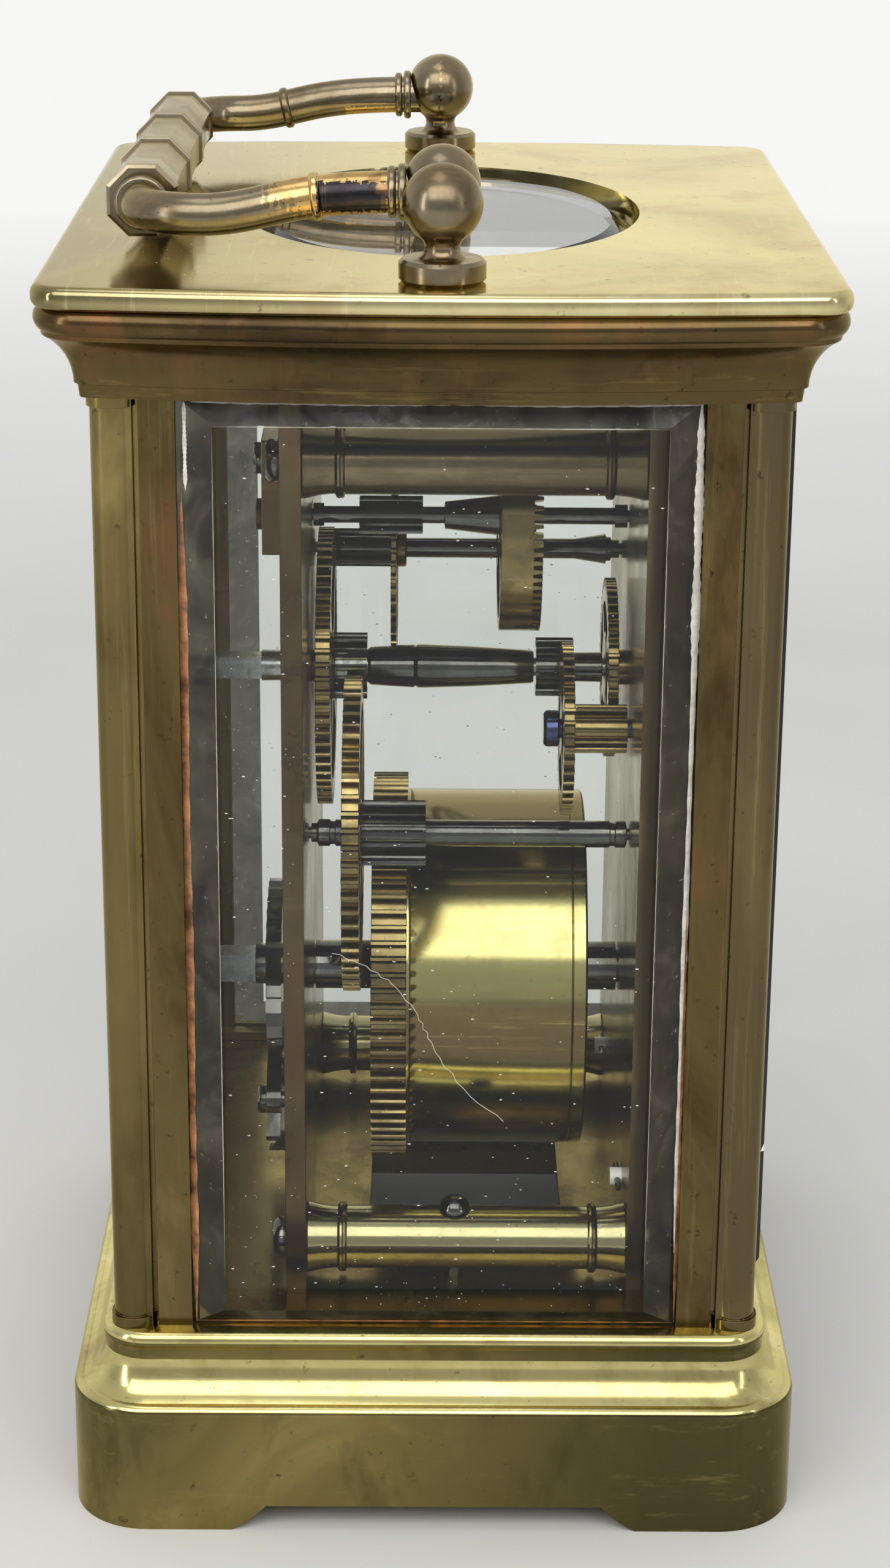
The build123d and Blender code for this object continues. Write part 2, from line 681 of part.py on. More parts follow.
def cornice_section():
    z = POST_TOP_Z
    inner = -CORNICE_CORNER_R * 0.9
    cove_z = z + COVE_TOP
    lines = [
        Line((inner, z), (0, z)),
        Line((0, z), (0.15, z + CORNICE_FASCIA)),
        Line((0.15, z + CORNICE_FASCIA), (0.45, z + CORNICE_FASCIA + 0.1)),
        ThreePointArc((0.45, z + CORNICE_FASCIA + 0.1), (1.15, z + 3.6), (COVE_OUT, cove_z)),
        Line((COVE_OUT, cove_z), (COVE_OUT + 0.1, cove_z + 0.4)),
        ThreePointArc(
            (COVE_OUT + 0.1, cove_z + 0.4),
            (OVOLO_OUT + 0.25, (cove_z + 0.4 + PLATE_UNDER_Z) / 2),
            (COVE_OUT + 0.1, PLATE_UNDER_Z),
        ),
        Line((COVE_OUT + 0.1, PLATE_UNDER_Z), (inner, PLATE_UNDER_Z)),
        Line((inner, PLATE_UNDER_Z), (inner, z)),
    ]
    return make_face(lines)


def cornice_frame():
    outline = bowed(CORNICE_HALF_X, CORNICE_HALF_Y, SIDE_BOW, CORNICE_CORNER_R)
    body = moulding(outline, cornice_section())
    filling = bowed(CORNICE_HALF_X - 0.3, CORNICE_HALF_Y - 0.3, SIDE_BOW, CORNICE_CORNER_R)
    filling -= Rectangle(2 * CORNICE_OPEN_X, 2 * CORNICE_OPEN_Y)
    body += Pos(0, 0, POST_TOP_Z) * extrude(filling, amount=PLATE_UNDER_Z - POST_TOP_Z)
    for x, y in post_screw_places():
        body -= upright(x, y, HIGH_SCREW_HEAD_Z, PLATE_UNDER_Z + 1, POST_SCREW_HEAD_R + SEAT_GAP)
        body -= upright(x, y, POST_TOP_Z - 1, HIGH_SCREW_HEAD_Z + 1, POST_SCREW_R + BORE_FIT)
    for side in (-1, 1):
        body -= upright(side * PIVOT_X, 0, TOP_Z - TAIL_LENGTH - 0.3, TOP_Z, TAIL_R + BORE_FIT)
    pivot_x, pivot_y = door_axis()
    body -= upright(pivot_x, pivot_y, POST_TOP_Z - 1, DOOR_TOP_Z + DOOR_PIN_LENGTH + 0.3, DOOR_PIN_R + RUN_FIT)
    return body


def top_plate():
    body = extrude(bowed(PLATE_HALF_X, PLATE_HALF_Y, SIDE_BOW, PLATE_CORNER_R), amount=PLATE_THICK)
    lips = body.faces().sort_by(Axis.Z)
    body = fillet(lips[-1].edges() + lips[0].edges(), PLATE_LIP_R)
    body = Pos(0, 0, PLATE_UNDER_Z) * body
    oval = extrude(Ellipse(OVAL_HALF_X, OVAL_HALF_Y), amount=3 * PLATE_THICK, both=True)
    body -= Pos(0, 0, PLATE_UNDER_Z) * oval
    for side in (-1, 1):
        body -= upright(side * PIVOT_X, 0, PLATE_UNDER_Z - 1, TOP_Z + 1, TAIL_R + BORE_FIT)
    return body


def top_glass():
    out_x = OVAL_HALF_X + OVAL_GLASS_LIP
    out_y = OVAL_HALF_Y + OVAL_GLASS_LIP
    low_z = PLATE_UNDER_Z - OVAL_GLASS_EDGE
    body = Pos(0, 0, low_z) * extrude(Ellipse(out_x, out_y), amount=OVAL_GLASS_EDGE)
    foot = Pos(0, 0, PLATE_UNDER_Z - 0.05) * Ellipse(OVAL_HALF_X - 0.3, OVAL_HALF_Y - 0.3)
    crown_z = PLATE_UNDER_Z + OVAL_GLASS_RISE
    crown = Pos(0, 0, crown_z) * Ellipse(OVAL_HALF_X - OVAL_BEVEL, OVAL_HALF_Y - OVAL_BEVEL)
    return body + loft([foot, crown])


def top_glass_ring():
    out_x = OVAL_HALF_X + OVAL_RING_OUT
    out_y = OVAL_HALF_Y + OVAL_RING_OUT
    ring = Ellipse(out_x, out_y) - Ellipse(OVAL_HALF_X - OVAL_RING_IN, OVAL_HALF_Y - OVAL_RING_IN)
    low_z = PLATE_UNDER_Z - OVAL_GLASS_EDGE - OVAL_RING_HEIGHT
    body = Pos(0, 0, low_z) * extrude(ring, amount=OVAL_RING_HEIGHT)
    seat = OVAL_GLASS_LIP + SEAT_GAP
    wall = Ellipse(out_x, out_y) - Ellipse(OVAL_HALF_X + seat, OVAL_HALF_Y + seat)
    return body + Pos(0, 0, low_z) * extrude(wall, amount=PLATE_UNDER_Z - low_z)


def pane(half_wide, low_z, high_z, thick, edge):
    """Bevelled glass standing in the XZ plane with its inner face on Y = 0 and its front toward +Y."""
    tall = high_z - low_z
    back = Rectangle(2 * half_wide, tall)
    bevel_base = Pos(0, 0, edge) * Rectangle(2 * (half_wide - GLASS_EDGE_IN), tall)
    bevel_top = Pos(0, 0, thick) * Rectangle(2 * (half_wide - BEVEL_WIDTH - GLASS_EDGE_IN), tall - 2 * BEVEL_END)
    body = extrude(back, amount=edge) + loft([bevel_base, bevel_top], ruled=True)
    return Pos(0, 0, (low_z + high_z) / 2) * Rot(-90, 0, 0) * body


def side_glass(x_sign):
    inner_x = POST_HALF_X + SIDE_GLASS_OUT - SIDE_GLASS_THICK
    edge = STRIP_HALF_X - LIP_THICK - SEAT_GAP - inner_x
    glass = pane(POST_EDGE_Y + GLASS_EDGE_IN, SHOULDER_Z, POST_TOP_Z - 0.2, SIDE_GLASS_THICK, edge)
    return Rot(0, 0, -90 * x_sign) * Pos(0, inner_x, 0) * glass


def front_glass():
    inner_y = POST_HALF_Y + FRONT_GLASS_OUT - FRONT_GLASS_THICK
    edge = STRIP_HALF_Y - LIP_THICK - SEAT_GAP - inner_y
    glass = pane(POST_EDGE_X + GLASS_EDGE_IN, SHOULDER_Z, POST_TOP_Z - 0.2, FRONT_GLASS_THICK, edge)
    return Rot(0, 0, 180) * Pos(0, inner_y, 0) * glass


def door_axis():
    return (DOOR_THICK / 2 - DOOR_HALF_X, DOOR_OUTER_Y - DOOR_THICK / 2)


def door_frame():
    mid_y = DOOR_OUTER_Y - DOOR_THICK / 2
    plan = Rectangle(2 * DOOR_HALF_X, DOOR_THICK)
    plan = fillet(plan.vertices().group_by(Axis.X)[0], DOOR_THICK / 2 - 0.01)
    body = Pos(0, mid_y, DOOR_BOTTOM_Z) * extrude(plan, amount=DOOR_TOP_Z - DOOR_BOTTOM_Z)
    open_x = DOOR_HALF_X - DOOR_FRAME
    open_low = DOOR_BOTTOM_Z + DOOR_FRAME
    open_high = DOOR_TOP_Z - DOOR_FRAME
    y_through = (mid_y - DOOR_THICK, mid_y + DOOR_THICK)
    body -= block((-open_x, open_x), y_through, (open_low, open_high))
    groove_y = (mid_y - DOOR_GROOVE / 2, mid_y + DOOR_GROOVE / 2)
    deep = DOOR_GROOVE_DEPTH
    body -= block((-open_x - deep, open_x + deep), groove_y, (open_low - deep, open_high + deep))
    pivot_x, pivot_y = door_axis()
    body += upright(pivot_x, pivot_y, DOOR_BOTTOM_Z - DOOR_PIN_LENGTH, DOOR_BOTTOM_Z + 0.5, DOOR_PIN_R)
    body += upright(pivot_x, pivot_y, DOOR_TOP_Z - 0.5, DOOR_TOP_Z + DOOR_PIN_LENGTH, DOOR_PIN_R)
    knob_x = DOOR_HALF_X - KNOB_IN
    body -= rod((knob_x, KNOB_Z), DOOR_OUTER_Y + 1, mid_y - DOOR_THICK, KNOB_R * 0.4 + BORE_FIT)
    return body


def door_glass():
    mid_y = DOOR_OUTER_Y - DOOR_THICK / 2
    edge = DOOR_GROOVE - 2 * SEAT_GAP
    inset = DOOR_FRAME - DOOR_GROOVE_DEPTH + SEAT_GAP
    thick = DOOR_THICK / 2 + edge / 2 + DOOR_GLASS_RISE
    half = DOOR_HALF_X - inset
    low = DOOR_BOTTOM_Z + inset
    high = DOOR_TOP_Z - inset
    back = Rectangle(2 * half, high - low)
    bevel_foot = Pos(0, 0, edge) * Rectangle(2 * half - 2 * DOOR_GROOVE_DEPTH, high - low - 2 * DOOR_GROOVE_DEPTH)
    inner = half - BEVEL_WIDTH - DOOR_GROOVE_DEPTH
    bevel_top = Pos(0, 0, thick) * Rectangle(2 * inner, high - low - 2 * (BEVEL_WIDTH + DOOR_GROOVE_DEPTH))
    body = extrude(back, amount=edge) + loft([bevel_foot, bevel_top], ruled=True)
    return Pos(0, mid_y - edge / 2, (low + high) / 2) * Rot(-90, 0, 0) * body


def door_knob():
    knob_x = DOOR_HALF_X - KNOB_IN
    axis = (knob_x, KNOB_Z)
    neck_y = DOOR_OUTER_Y + 0.9
    end_y = DOOR_OUTER_Y + KNOB_LENGTH
    body = rod(axis, DOOR_OUTER_Y + 0.4, DOOR_OUTER_Y, KNOB_R * 0.95)
    body += rod(axis, neck_y, DOOR_OUTER_Y - DOOR_THICK + 0.4, KNOB_R * 0.4)
    head = rod(axis, end_y, neck_y, KNOB_R)
    return body + fillet(head.edges().filter_by(GeomType.CIRCLE), 0.6)


def handle_post(x_sign):
    """Turned foot, neck and ball, cut flat on the inner side and bored for the arm's pin."""
    top_z = TOP_Z + FOOT_HEIGHT
    neck_low = TOP_Z + NECK_LOW
    neck_high = TOP_Z + NECK_HIGH
    ball_low = PIVOT_Z - sqrt(POST_BALL_R ** 2 - (NECK_R + 0.3) ** 2)
    lines = [
        Polyline([(0, TOP_Z), (FOOT_R - 0.3, TOP_Z), (FOOT_R, TOP_Z + 0.3), (FOOT_R, top_z - 0.3)]),
        Polyline([(FOOT_R, top_z - 0.3), (FOOT_R - 0.3, top_z), (NECK_R + 0.6, top_z)]),
        ThreePointArc((NECK_R + 0.6, top_z), (NECK_R, (neck_low + neck_high) / 2), (NECK_R + 0.3, ball_low)),
        Line((NECK_R + 0.3, ball_low), (0, ball_low)),
        Line((0, ball_low), (0, TOP_Z)),
    ]
    body = revolve(Plane.XZ * make_face(lines), Axis.Z)
    body += Pos(0, 0, PIVOT_Z) * Sphere(POST_BALL_R)
    body += upright(0, 0, TOP_Z - TAIL_LENGTH, TOP_Z + 0.5, TAIL_R)
    body = Pos(PIVOT_X, 0, 0) * body
    cut_x = BALL_SPLIT_X + SEAT_GAP
    body -= block((cut_x - 5, cut_x), (-5, 5), (top_z + 0.1, PIVOT_Z + 5))
    reach = ARM_X + PIVOT_PIN_LENGTH + 0.2
    bore = Cylinder(PIVOT_PIN_R + RUN_FIT, reach - cut_x + 1)
    body -= Pos((cut_x - 1 + reach) / 2, 0, PIVOT_Z) * Rot(0, 90, 0) * bore
    return body if x_sign > 0 else body.mirror(Plane.YZ)


def arm_path():
    """Centre line of the +X arm: out of the ball, a gentle sag, and the bend into the grip."""
    bend_start_y = GRIP_Y - BEND_R
    start = (ARM_X, 0, PIVOT_Z)
    low = (ARM_X, SAG_Y, PIVOT_Z - SAG_DEPTH)
    bend_start = (ARM_X, bend_start_y, GRIP_Z)
    bend_middle = (ARM_X - BEND_R * (1 - cos(pi / 4)), bend_start_y + BEND_R * sin(pi / 4), GRIP_Z)
    bend_end = (ARM_X - BEND_R, GRIP_Y, GRIP_Z)
    sag = Spline([start, low, bend_start], tangents=[(0, 1, 0), (0, 1, -0.02)])
    bend = ThreePointArc(bend_start, bend_middle, bend_end)
    return sag, bend


def bead(point, tangent, radius, width):
    plane = Plane(origin=point, z_dir=tangent)
    ring = plane * (Pos(0, 0, -width / 2) * Circle(radius))
    body = extrude(ring, amount=width)
    return fillet(body.edges().filter_by(GeomType.CIRCLE), width * 0.4)


def handle_arm(x_sign):
    sag, bend = arm_path()
    start = Plane(origin=sag @ 0, z_dir=sag % 0)
    rod_sag = sweep(start * Circle(ARM_R), path=sag)
    bend_start = Plane(origin=bend @ 0, z_dir=bend % 0)
    rod_bend = sweep(bend_start * Circle(ARM_R), path=bend)
    body = rod_sag + rod_bend
    body += Pos(ARM_X, 0, PIVOT_Z + ARM_BALL_RISE) * Sphere(ARM_BALL_R)
    for ring in (0, 1):
        share = (COLLAR_Y + ring * COLLAR_SPACE) / (GRIP_Y - BEND_R)
        body += bead(sag @ share, sag % share, COLLAR_R - ring * COLLAR_STEP, COLLAR_WIDTH)
    share = (KNUCKLE_RIGHT_Y if x_sign > 0 else KNUCKLE_LEFT_Y) / (GRIP_Y - BEND_R)
    body += bead(sag @ share, sag % share, KNUCKLE_R, KNUCKLE_WIDTH)
    tang_x = GRIP_HALF - TANG_LENGTH
    end_x = ARM_X - BEND_R + 0.3
    body += Pos((tang_x + end_x) / 2, GRIP_Y, GRIP_Z) * Rot(0, 90, 0) * Cylinder(TANG_R, end_x - tang_x)
    collar = Cylinder(GRIP_COLLAR_R, end_x - GRIP_HALF)
    collar = fillet(collar.edges().filter_by(GeomType.CIRCLE).sort_by(Axis.Z)[-1], 0.35)
    body += Pos((GRIP_HALF + end_x) / 2, GRIP_Y, GRIP_Z) * Rot(0, 90, 0) * collar
    body -= block((BALL_SPLIT_X, BALL_SPLIT_X + 5), (-5, 3), (PIVOT_Z - 5, PIVOT_Z + 5))
    pin_x = ARM_X + PIVOT_PIN_LENGTH
    body += Pos((ARM_X + pin_x) / 2, 0, PIVOT_Z) * Rot(0, 90, 0) * Cylinder(PIVOT_PIN_R, PIVOT_PIN_LENGTH)
    return body if x_sign > 0 else body.mirror(Plane.YZ)


def octagon(across_flats):
    return Rot(0, 0, 22.5) * RegularPolygon(across_flats / 2 / cos(pi / 8), 8)


def handle_grip():
    """Three octagonal lengths, each with a rim at both ends and a slight waist between."""
    part = 2 * GRIP_HALF / GRIP_PARTS
    body = Part()
    for index in range(GRIP_PARTS):
        low = -GRIP_HALF + index * part
        high = low + part
        rim_a = extrude(Pos(0, 0, low) * octagon(GRIP_RIM), amount=GRIP_RIM_WIDTH)
        rim_b = extrude(Pos(0, 0, high - GRIP_RIM_WIDTH) * octagon(GRIP_RIM), amount=GRIP_RIM_WIDTH)
        waist = extrude(Pos(0, 0, low) * octagon(GRIP_WAIST), amount=part)
        body += rim_a + rim_b + waist
    body = Pos(0, GRIP_Y, GRIP_Z) * Rot(0, 90, 0) * body
    for side in (-1, 1):
        middle = side * (GRIP_HALF - TANG_LENGTH / 2)
        bore = Cylinder(TANG_R + BORE_FIT, TANG_LENGTH + 2 * SEAT_GAP)
        body -= Pos(middle, GRIP_Y, GRIP_Z) * Rot(0, 90, 0) * bore
    return body


def pillar_axes(z):
    return [(-PILLAR_X, z), (PILLAR_X, z)]


def all_pillar_axes():
    return pillar_axes(UPPER_PILLAR_Z) + pillar_axes(LOWER_PILLAR_Z)


def dial_feet():
    return [(x, z) for z in (DIAL_FOOT_LOW_Z, DIAL_FOOT_HIGH_Z) for x in (-DIAL_FOOT_X, DIAL_FOOT_X)]


def movement_plate(back_y, front_y, holes):
    half = PLATE_WIDE / 2
    plate = block((-half, half), (front_y, back_y), (FLOOR_TOP_Z, MOVEMENT_TOP_Z))
    for axis in all_pillar_axes():
        plate -= rod(axis, back_y + 1, front_y - 1, PILLAR_SCREW_R + BORE_FIT)
    for axis, radius in holes:
        plate -= rod(axis, back_y + 1, front_y - 1, radius)
    return plate


def platform_screw_places():
    y_back = (BACK_PLATE_IN_Y + BACK_PLATE_OUT_Y) / 2
    y_front = (FRONT_PLATE_IN_Y + FRONT_PLATE_OUT_Y) / 2
    return [(x, y) for y in (y_back, y_front) for x in (-PLATFORM_SCREW_X, PLATFORM_SCREW_X)]


def back_plate():
    holes = [
        (BARREL_AXIS, BARREL_BACK_PIVOT_R + RUN_FIT),
        (INTER_AXIS, PIVOT_R + RUN_FIT),
        (CENTRE_AXIS, HAND_COLLAR_R + RUN_FIT),
        (THIRD_AXIS, PIVOT_R + RUN_FIT),
        (CONTRATE_AXIS, COLLAR_NEAR_PLATE_R + 0.3),
        ((0.0, COCK_SCREW_Z), COCK_SCREW_R + BORE_FIT),
        ((CLICK_X, CLICK_Z), PIVOT_R + BORE_FIT),
        ((CLICK_SPRING_FOOT_X, CLICK_SPRING_FOOT_Z), PIVOT_R + BORE_FIT),
    ]
    plate = movement_plate(BACK_PLATE_OUT_Y, BACK_PLATE_IN_Y, holes)
    return drilled_for_platform(plate)


def front_plate():
    holes = [
        (BARREL_AXIS, BARREL_FRONT_PIVOT_R + RUN_FIT),
        (INTER_AXIS, PIVOT_R + RUN_FIT),
        (CENTRE_AXIS, HOUR_PIPE_R + RUN_FIT),
        (THIRD_AXIS, PIVOT_R + RUN_FIT),
        (CONTRATE_AXIS, PIVOT_R + RUN_FIT),
        (MINUTE_AXIS, STUD_R + BORE_FIT),
    ]
    holes += [(foot, DIAL_FOOT_R + BORE_FIT) for foot in dial_feet()]
    return drilled_for_platform(movement_plate(FRONT_PLATE_IN_Y, FRONT_PLATE_OUT_Y, holes))


def drilled_for_platform(plate):
    for x, y in platform_screw_places():
        plate -= upright(x, y, MOVEMENT_TOP_Z - 3, MOVEMENT_TOP_Z + 1, PLATFORM_SCREW_R + BORE_FIT)
    return plate


def pillar(axis):
    back_ring = BACK_PLATE_IN_Y - PILLAR_RING_BACK
    front_ring = FRONT_PLATE_IN_Y + PILLAR_RING_FRONT
    body = rod(axis, back_ring, front_ring, PILLAR_R)
    body += taper(axis, BACK_PLATE_IN_Y, back_ring, PILLAR_END_R, PILLAR_R)
    body += taper(axis, front_ring, FRONT_PLATE_IN_Y, PILLAR_R, PILLAR_END_R)
    for ring in (back_ring, front_ring):
        collar = rod(axis, ring + PILLAR_RING_WIDTH / 2, ring - PILLAR_RING_WIDTH / 2, PILLAR_RING_R)
        body += fillet(collar.edges().filter_by(GeomType.CIRCLE), PILLAR_RING_WIDTH * 0.35)
    deep = PILLAR_SCREW_DEPTH + SEAT_GAP
    body -= rod(axis, BACK_PLATE_IN_Y + 1, BACK_PLATE_IN_Y - deep, PILLAR_SCREW_R + BORE_FIT)
    body -= rod(axis, FRONT_PLATE_IN_Y + deep, FRONT_PLATE_IN_Y - 1, PILLAR_SCREW_R + BORE_FIT)
    return body


def upper_pillars():
    return Compound(children=[pillar(axis).solid() for axis in pillar_axes(UPPER_PILLAR_Z)])


def lower_pillars():
    pillars = []
    for axis in pillar_axes(LOWER_PILLAR_Z):
        bored = pillar(axis) - upright(axis[0], HOLD_SCREW_Y, axis[1] - 5, axis[1] + 5, HOLD_SCREW_R + BORE_FIT)
        pillars.append(bored.solid())
    return Compound(children=pillars)


def slotted_head(axis, seat_y, out_sign, radius, height):
    """Screw head on a Y-facing seat, with a rounded rim and a driver slot."""
    end_y = seat_y + out_sign * height
    head = rod(axis, max(seat_y, end_y), min(seat_y, end_y), radius)
    rim = head.faces().sort_by(Axis.Y)[-1 if out_sign > 0 else 0]
    head = fillet(rim.edges(), height * 0.4)
    slot_y = sorted((end_y + out_sign, end_y - out_sign * height * 0.4))
    return head - block((axis[0] - 5, axis[0] + 5), slot_y, (axis[1] - 0.25, axis[1] + 0.25))


def pillar_screws():
    screws = []
    for axis in all_pillar_axes():
        back = slotted_head(axis, BACK_PLATE_OUT_Y, 1, PILLAR_SCREW_HEAD_R, PILLAR_SCREW_HEAD)
        back += rod(axis, BACK_PLATE_OUT_Y + 0.2, BACK_PLATE_IN_Y - PILLAR_SCREW_DEPTH, PILLAR_SCREW_R)
        front = slotted_head(axis, FRONT_PLATE_OUT_Y, -1, PILLAR_SCREW_HEAD_R, PILLAR_SCREW_HEAD)
        front += rod(axis, FRONT_PLATE_IN_Y + PILLAR_SCREW_DEPTH, FRONT_PLATE_OUT_Y - 0.2, PILLAR_SCREW_R)
        screws += [back.solid(), front.solid()]
    return Compound(children=screws)


def holding_screws():
    screws = []
    seat_z = LOWER_PILLAR_Z + sqrt(PILLAR_R ** 2 - HOLD_SCREW_R ** 2)
    low_z = FLOOR_TOP_Z - FLOOR_THICK + 0.2
    for x in (-PILLAR_X, PILLAR_X):
        dome = Pos(x, HOLD_SCREW_Y, LOWER_PILLAR_Z + PILLAR_R) * Sphere(HOLD_SCREW_HEAD_R)
        dome &= block((x - 3, x + 3), (HOLD_SCREW_Y - 3, HOLD_SCREW_Y + 3), (seat_z + 0.1, seat_z + 3))
        screw = dome + upright(x, HOLD_SCREW_Y, low_z, seat_z + 0.5, HOLD_SCREW_R)
        screws.append(screw.solid())
    return Compound(children=screws)


def contrate_cock():
    body = block((-COCK_HALF_X, COCK_HALF_X), (BACK_PLATE_OUT_Y, COCK_OUT_Y), (COCK_LOW_Z, COCK_HIGH_Z))
    body -= rod(CONTRATE_AXIS, COCK_OUT_Y - 0.3, BACK_PLATE_OUT_Y - 1, PIVOT_R + RUN_FIT)
    body -= rod(CONTRATE_AXIS, BACK_PLATE_OUT_Y + 0.9, BACK_PLATE_OUT_Y - 1, COLLAR_NEAR_PLATE_R + 0.3)
    body -= rod((0.0, COCK_SCREW_Z), COCK_OUT_Y + 1, BACK_PLATE_OUT_Y - 1, COCK_SCREW_R + BORE_FIT)
    return body + rod(CONTRATE_AXIS, COCK_OUT_Y + 0.7, COCK_OUT_Y - 0.05, COCK_BOSS_R)


def click_seat_y():
    return RATCHET_FRONT_Y


def movement_screws():
    """Cock screw, click pivot screw, click spring screw and the four platform screws."""
    cock_axis = (0.0, COCK_SCREW_Z)
    cock = slotted_head(cock_axis, COCK_OUT_Y, 1, COCK_SCREW_HEAD_R, COCK_SCREW_HEAD)
    cock += rod(cock_axis, COCK_OUT_Y + 0.2, BACK_PLATE_IN_Y + 0.2, COCK_SCREW_R)
    click_axis = (CLICK_X, CLICK_Z)
    click_out = click_seat_y() + CLICK_THICK + SEAT_GAP
    click_screw = slotted_head(click_axis, click_out, 1, CLICK_SCREW_HEAD_R, CLICK_SCREW_HEAD)
    click_screw += rod(click_axis, click_out + 0.2, BACK_PLATE_OUT_Y, CLICK_STUD_R)
    click_screw += rod(click_axis, BACK_PLATE_OUT_Y + 0.2, BACK_PLATE_IN_Y + 0.2, PIVOT_R)
    spring_axis = (CLICK_SPRING_FOOT_X, CLICK_SPRING_FOOT_Z)
    spring_out = BACK_PLATE_OUT_Y + CLICK_SPRING_HIGH
    spring_screw = slotted_head(spring_axis, spring_out, 1, SPRING_SCREW_HEAD_R, SPRING_SCREW_HEAD)
    spring_screw += rod(spring_axis, spring_out + 0.2, BACK_PLATE_IN_Y + 0.2, PIVOT_R)
    screws = [cock.solid(), click_screw.solid(), spring_screw.solid()]
    for x, y in platform_screw_places():
        screw = upright(x, y, PLATFORM_TOP_Z, PLATFORM_TOP_Z + PLATFORM_SCREW_HEAD, PLATFORM_SCREW_HEAD_R)
        screw += upright(x, y, MOVEMENT_TOP_Z - 2.8, PLATFORM_TOP_Z + 0.1, PLATFORM_SCREW_R)
        screws.append(screw.solid())
    return Compound(children=screws)


def crossings(outer_r, hub_r):
    """The openings between the spokes of a wheel."""
    openings = Circle(outer_r) - Circle(hub_r)
    for index in range(SPOKES // 2):
        openings -= Rot(0, 0, index * 360 / SPOKES + 45) * Rectangle(SPOKE_WIDTH, 2 * outer_r + 1)
    return openings


def spoked_wheel(axis, back_y, front_y, points, root_r, hub_r, bore_r):
    sketch = flat(points) - crossings(root_r - RIM_WIDTH, hub_r) - Circle(bore_r)
    return front_view(axis, back_y, sketch, back_y - front_y)


def barrel_drum():
    points = wheel_points(GREAT_TEETH, GREAT_MODULE, direction(BARREL_AXIS, INTER_AXIS))
    body = front_view(BARREL_AXIS, GREAT_BACK_Y, flat(points), GREAT_BACK_Y - GREAT_FRONT_Y)
    body += rod(BARREL_AXIS, GREAT_FRONT_Y + 0.5, DRUM_FRONT_Y, DRUM_R)
    inner_back = GREAT_FRONT_Y - 0.6
    body -= rod(BARREL_AXIS, inner_back, DRUM_FRONT_Y - 1, DRUM_R - DRUM_WALL)
    body -= rod(BARREL_AXIS, GREAT_BACK_Y + 1, inner_back - 1, BARREL_ARBOR_R + RUN_FIT)
    low_z = BARREL_Z - HOOK_SCREW_REACH
    high_z = BARREL_Z - DRUM_R + DRUM_WALL * 0.5
    return body + upright(BARREL_X, HOOK_SCREW_Y, low_z, high_z, HOOK_SCREW_R)


def barrel_cover():
    cover_r = DRUM_R - DRUM_WALL - BORE_FIT
    body = rod(BARREL_AXIS, DRUM_FRONT_Y + DRUM_COVER + 0.1, DRUM_FRONT_Y + 0.1, cover_r)
    return body - rod(BARREL_AXIS, 0, DRUM_FRONT_Y - 1, BARREL_ARBOR_R + RUN_FIT)


def mainspring():
    """Flat spiral ribbon between the arbor and the drum wall."""
    back_y = GREAT_FRONT_Y - 1.2
    front_y = DRUM_FRONT_Y + DRUM_COVER + 0.8
    ribbon = spiral_ribbon(SPRING_INNER_R, SPRING_OUTER_R, SPRING_TURNS, SPRING_THICK)
    return front_view(BARREL_AXIS, back_y, ribbon, back_y - front_y)


def spiral_ribbon(inner_r, outer_r, turns, thick):
    """Face of a spiral strip, drawn as two splines half a thickness either side of its middle."""
    samples = int(turns * 12) + 1
    sides = []
    for offset in (-thick / 2, thick / 2):
        points = []
        for index in range(samples):
            share = index / (samples - 1)
            radius = inner_r + (outer_r - inner_r) * share + offset
            turn = 2 * pi * turns * share
            points.append((radius * cos(turn), radius * sin(turn)))
        sides.append(Spline(points))
    low, high = sides
    start = Line(low @ 0, high @ 0)
    end = Line(low @ 1, high @ 1)
    return make_face([low, end, high, start])


def square_end(axis, back_y, front_y, half):
    return front_view(axis, back_y, Rectangle(2 * half, 2 * half), back_y - front_y)


def barrel_arbor():
    body = rod(BARREL_AXIS, BACK_PLATE_IN_Y - PIVOT_SHOULDER, FRONT_PLATE_IN_Y + PIVOT_SHOULDER, BARREL_ARBOR_R)
    body += rod(BARREL_AXIS, SQUARE_START_Y, BACK_PLATE_IN_Y - 1, BARREL_BACK_PIVOT_R)
    body += rod(BARREL_AXIS, FRONT_PLATE_IN_Y + 1, FRONT_PLATE_OUT_Y, BARREL_FRONT_PIVOT_R)
    return body + square_end(BARREL_AXIS, SQUARE_BACK_Y, SQUARE_START_Y - 0.5, SQUARE_HALF)


def ratchet_wheel():
    step = 2 * pi / RATCHET_TEETH
    points = []
    for tooth in range(RATCHET_TEETH):
        turn = tooth * step
        points.append((RATCHET_R * cos(turn), RATCHET_R * sin(turn)))
        points.append((RATCHET_ROOT_R * cos(turn + 0.15 * step), RATCHET_ROOT_R * sin(turn + 0.15 * step)))
    sketch = flat(points) - Circle(BARREL_BACK_PIVOT_R + BORE_FIT)
    return front_view(BARREL_AXIS, RATCHET_BACK_Y, sketch, RATCHET_BACK_Y - RATCHET_FRONT_Y)


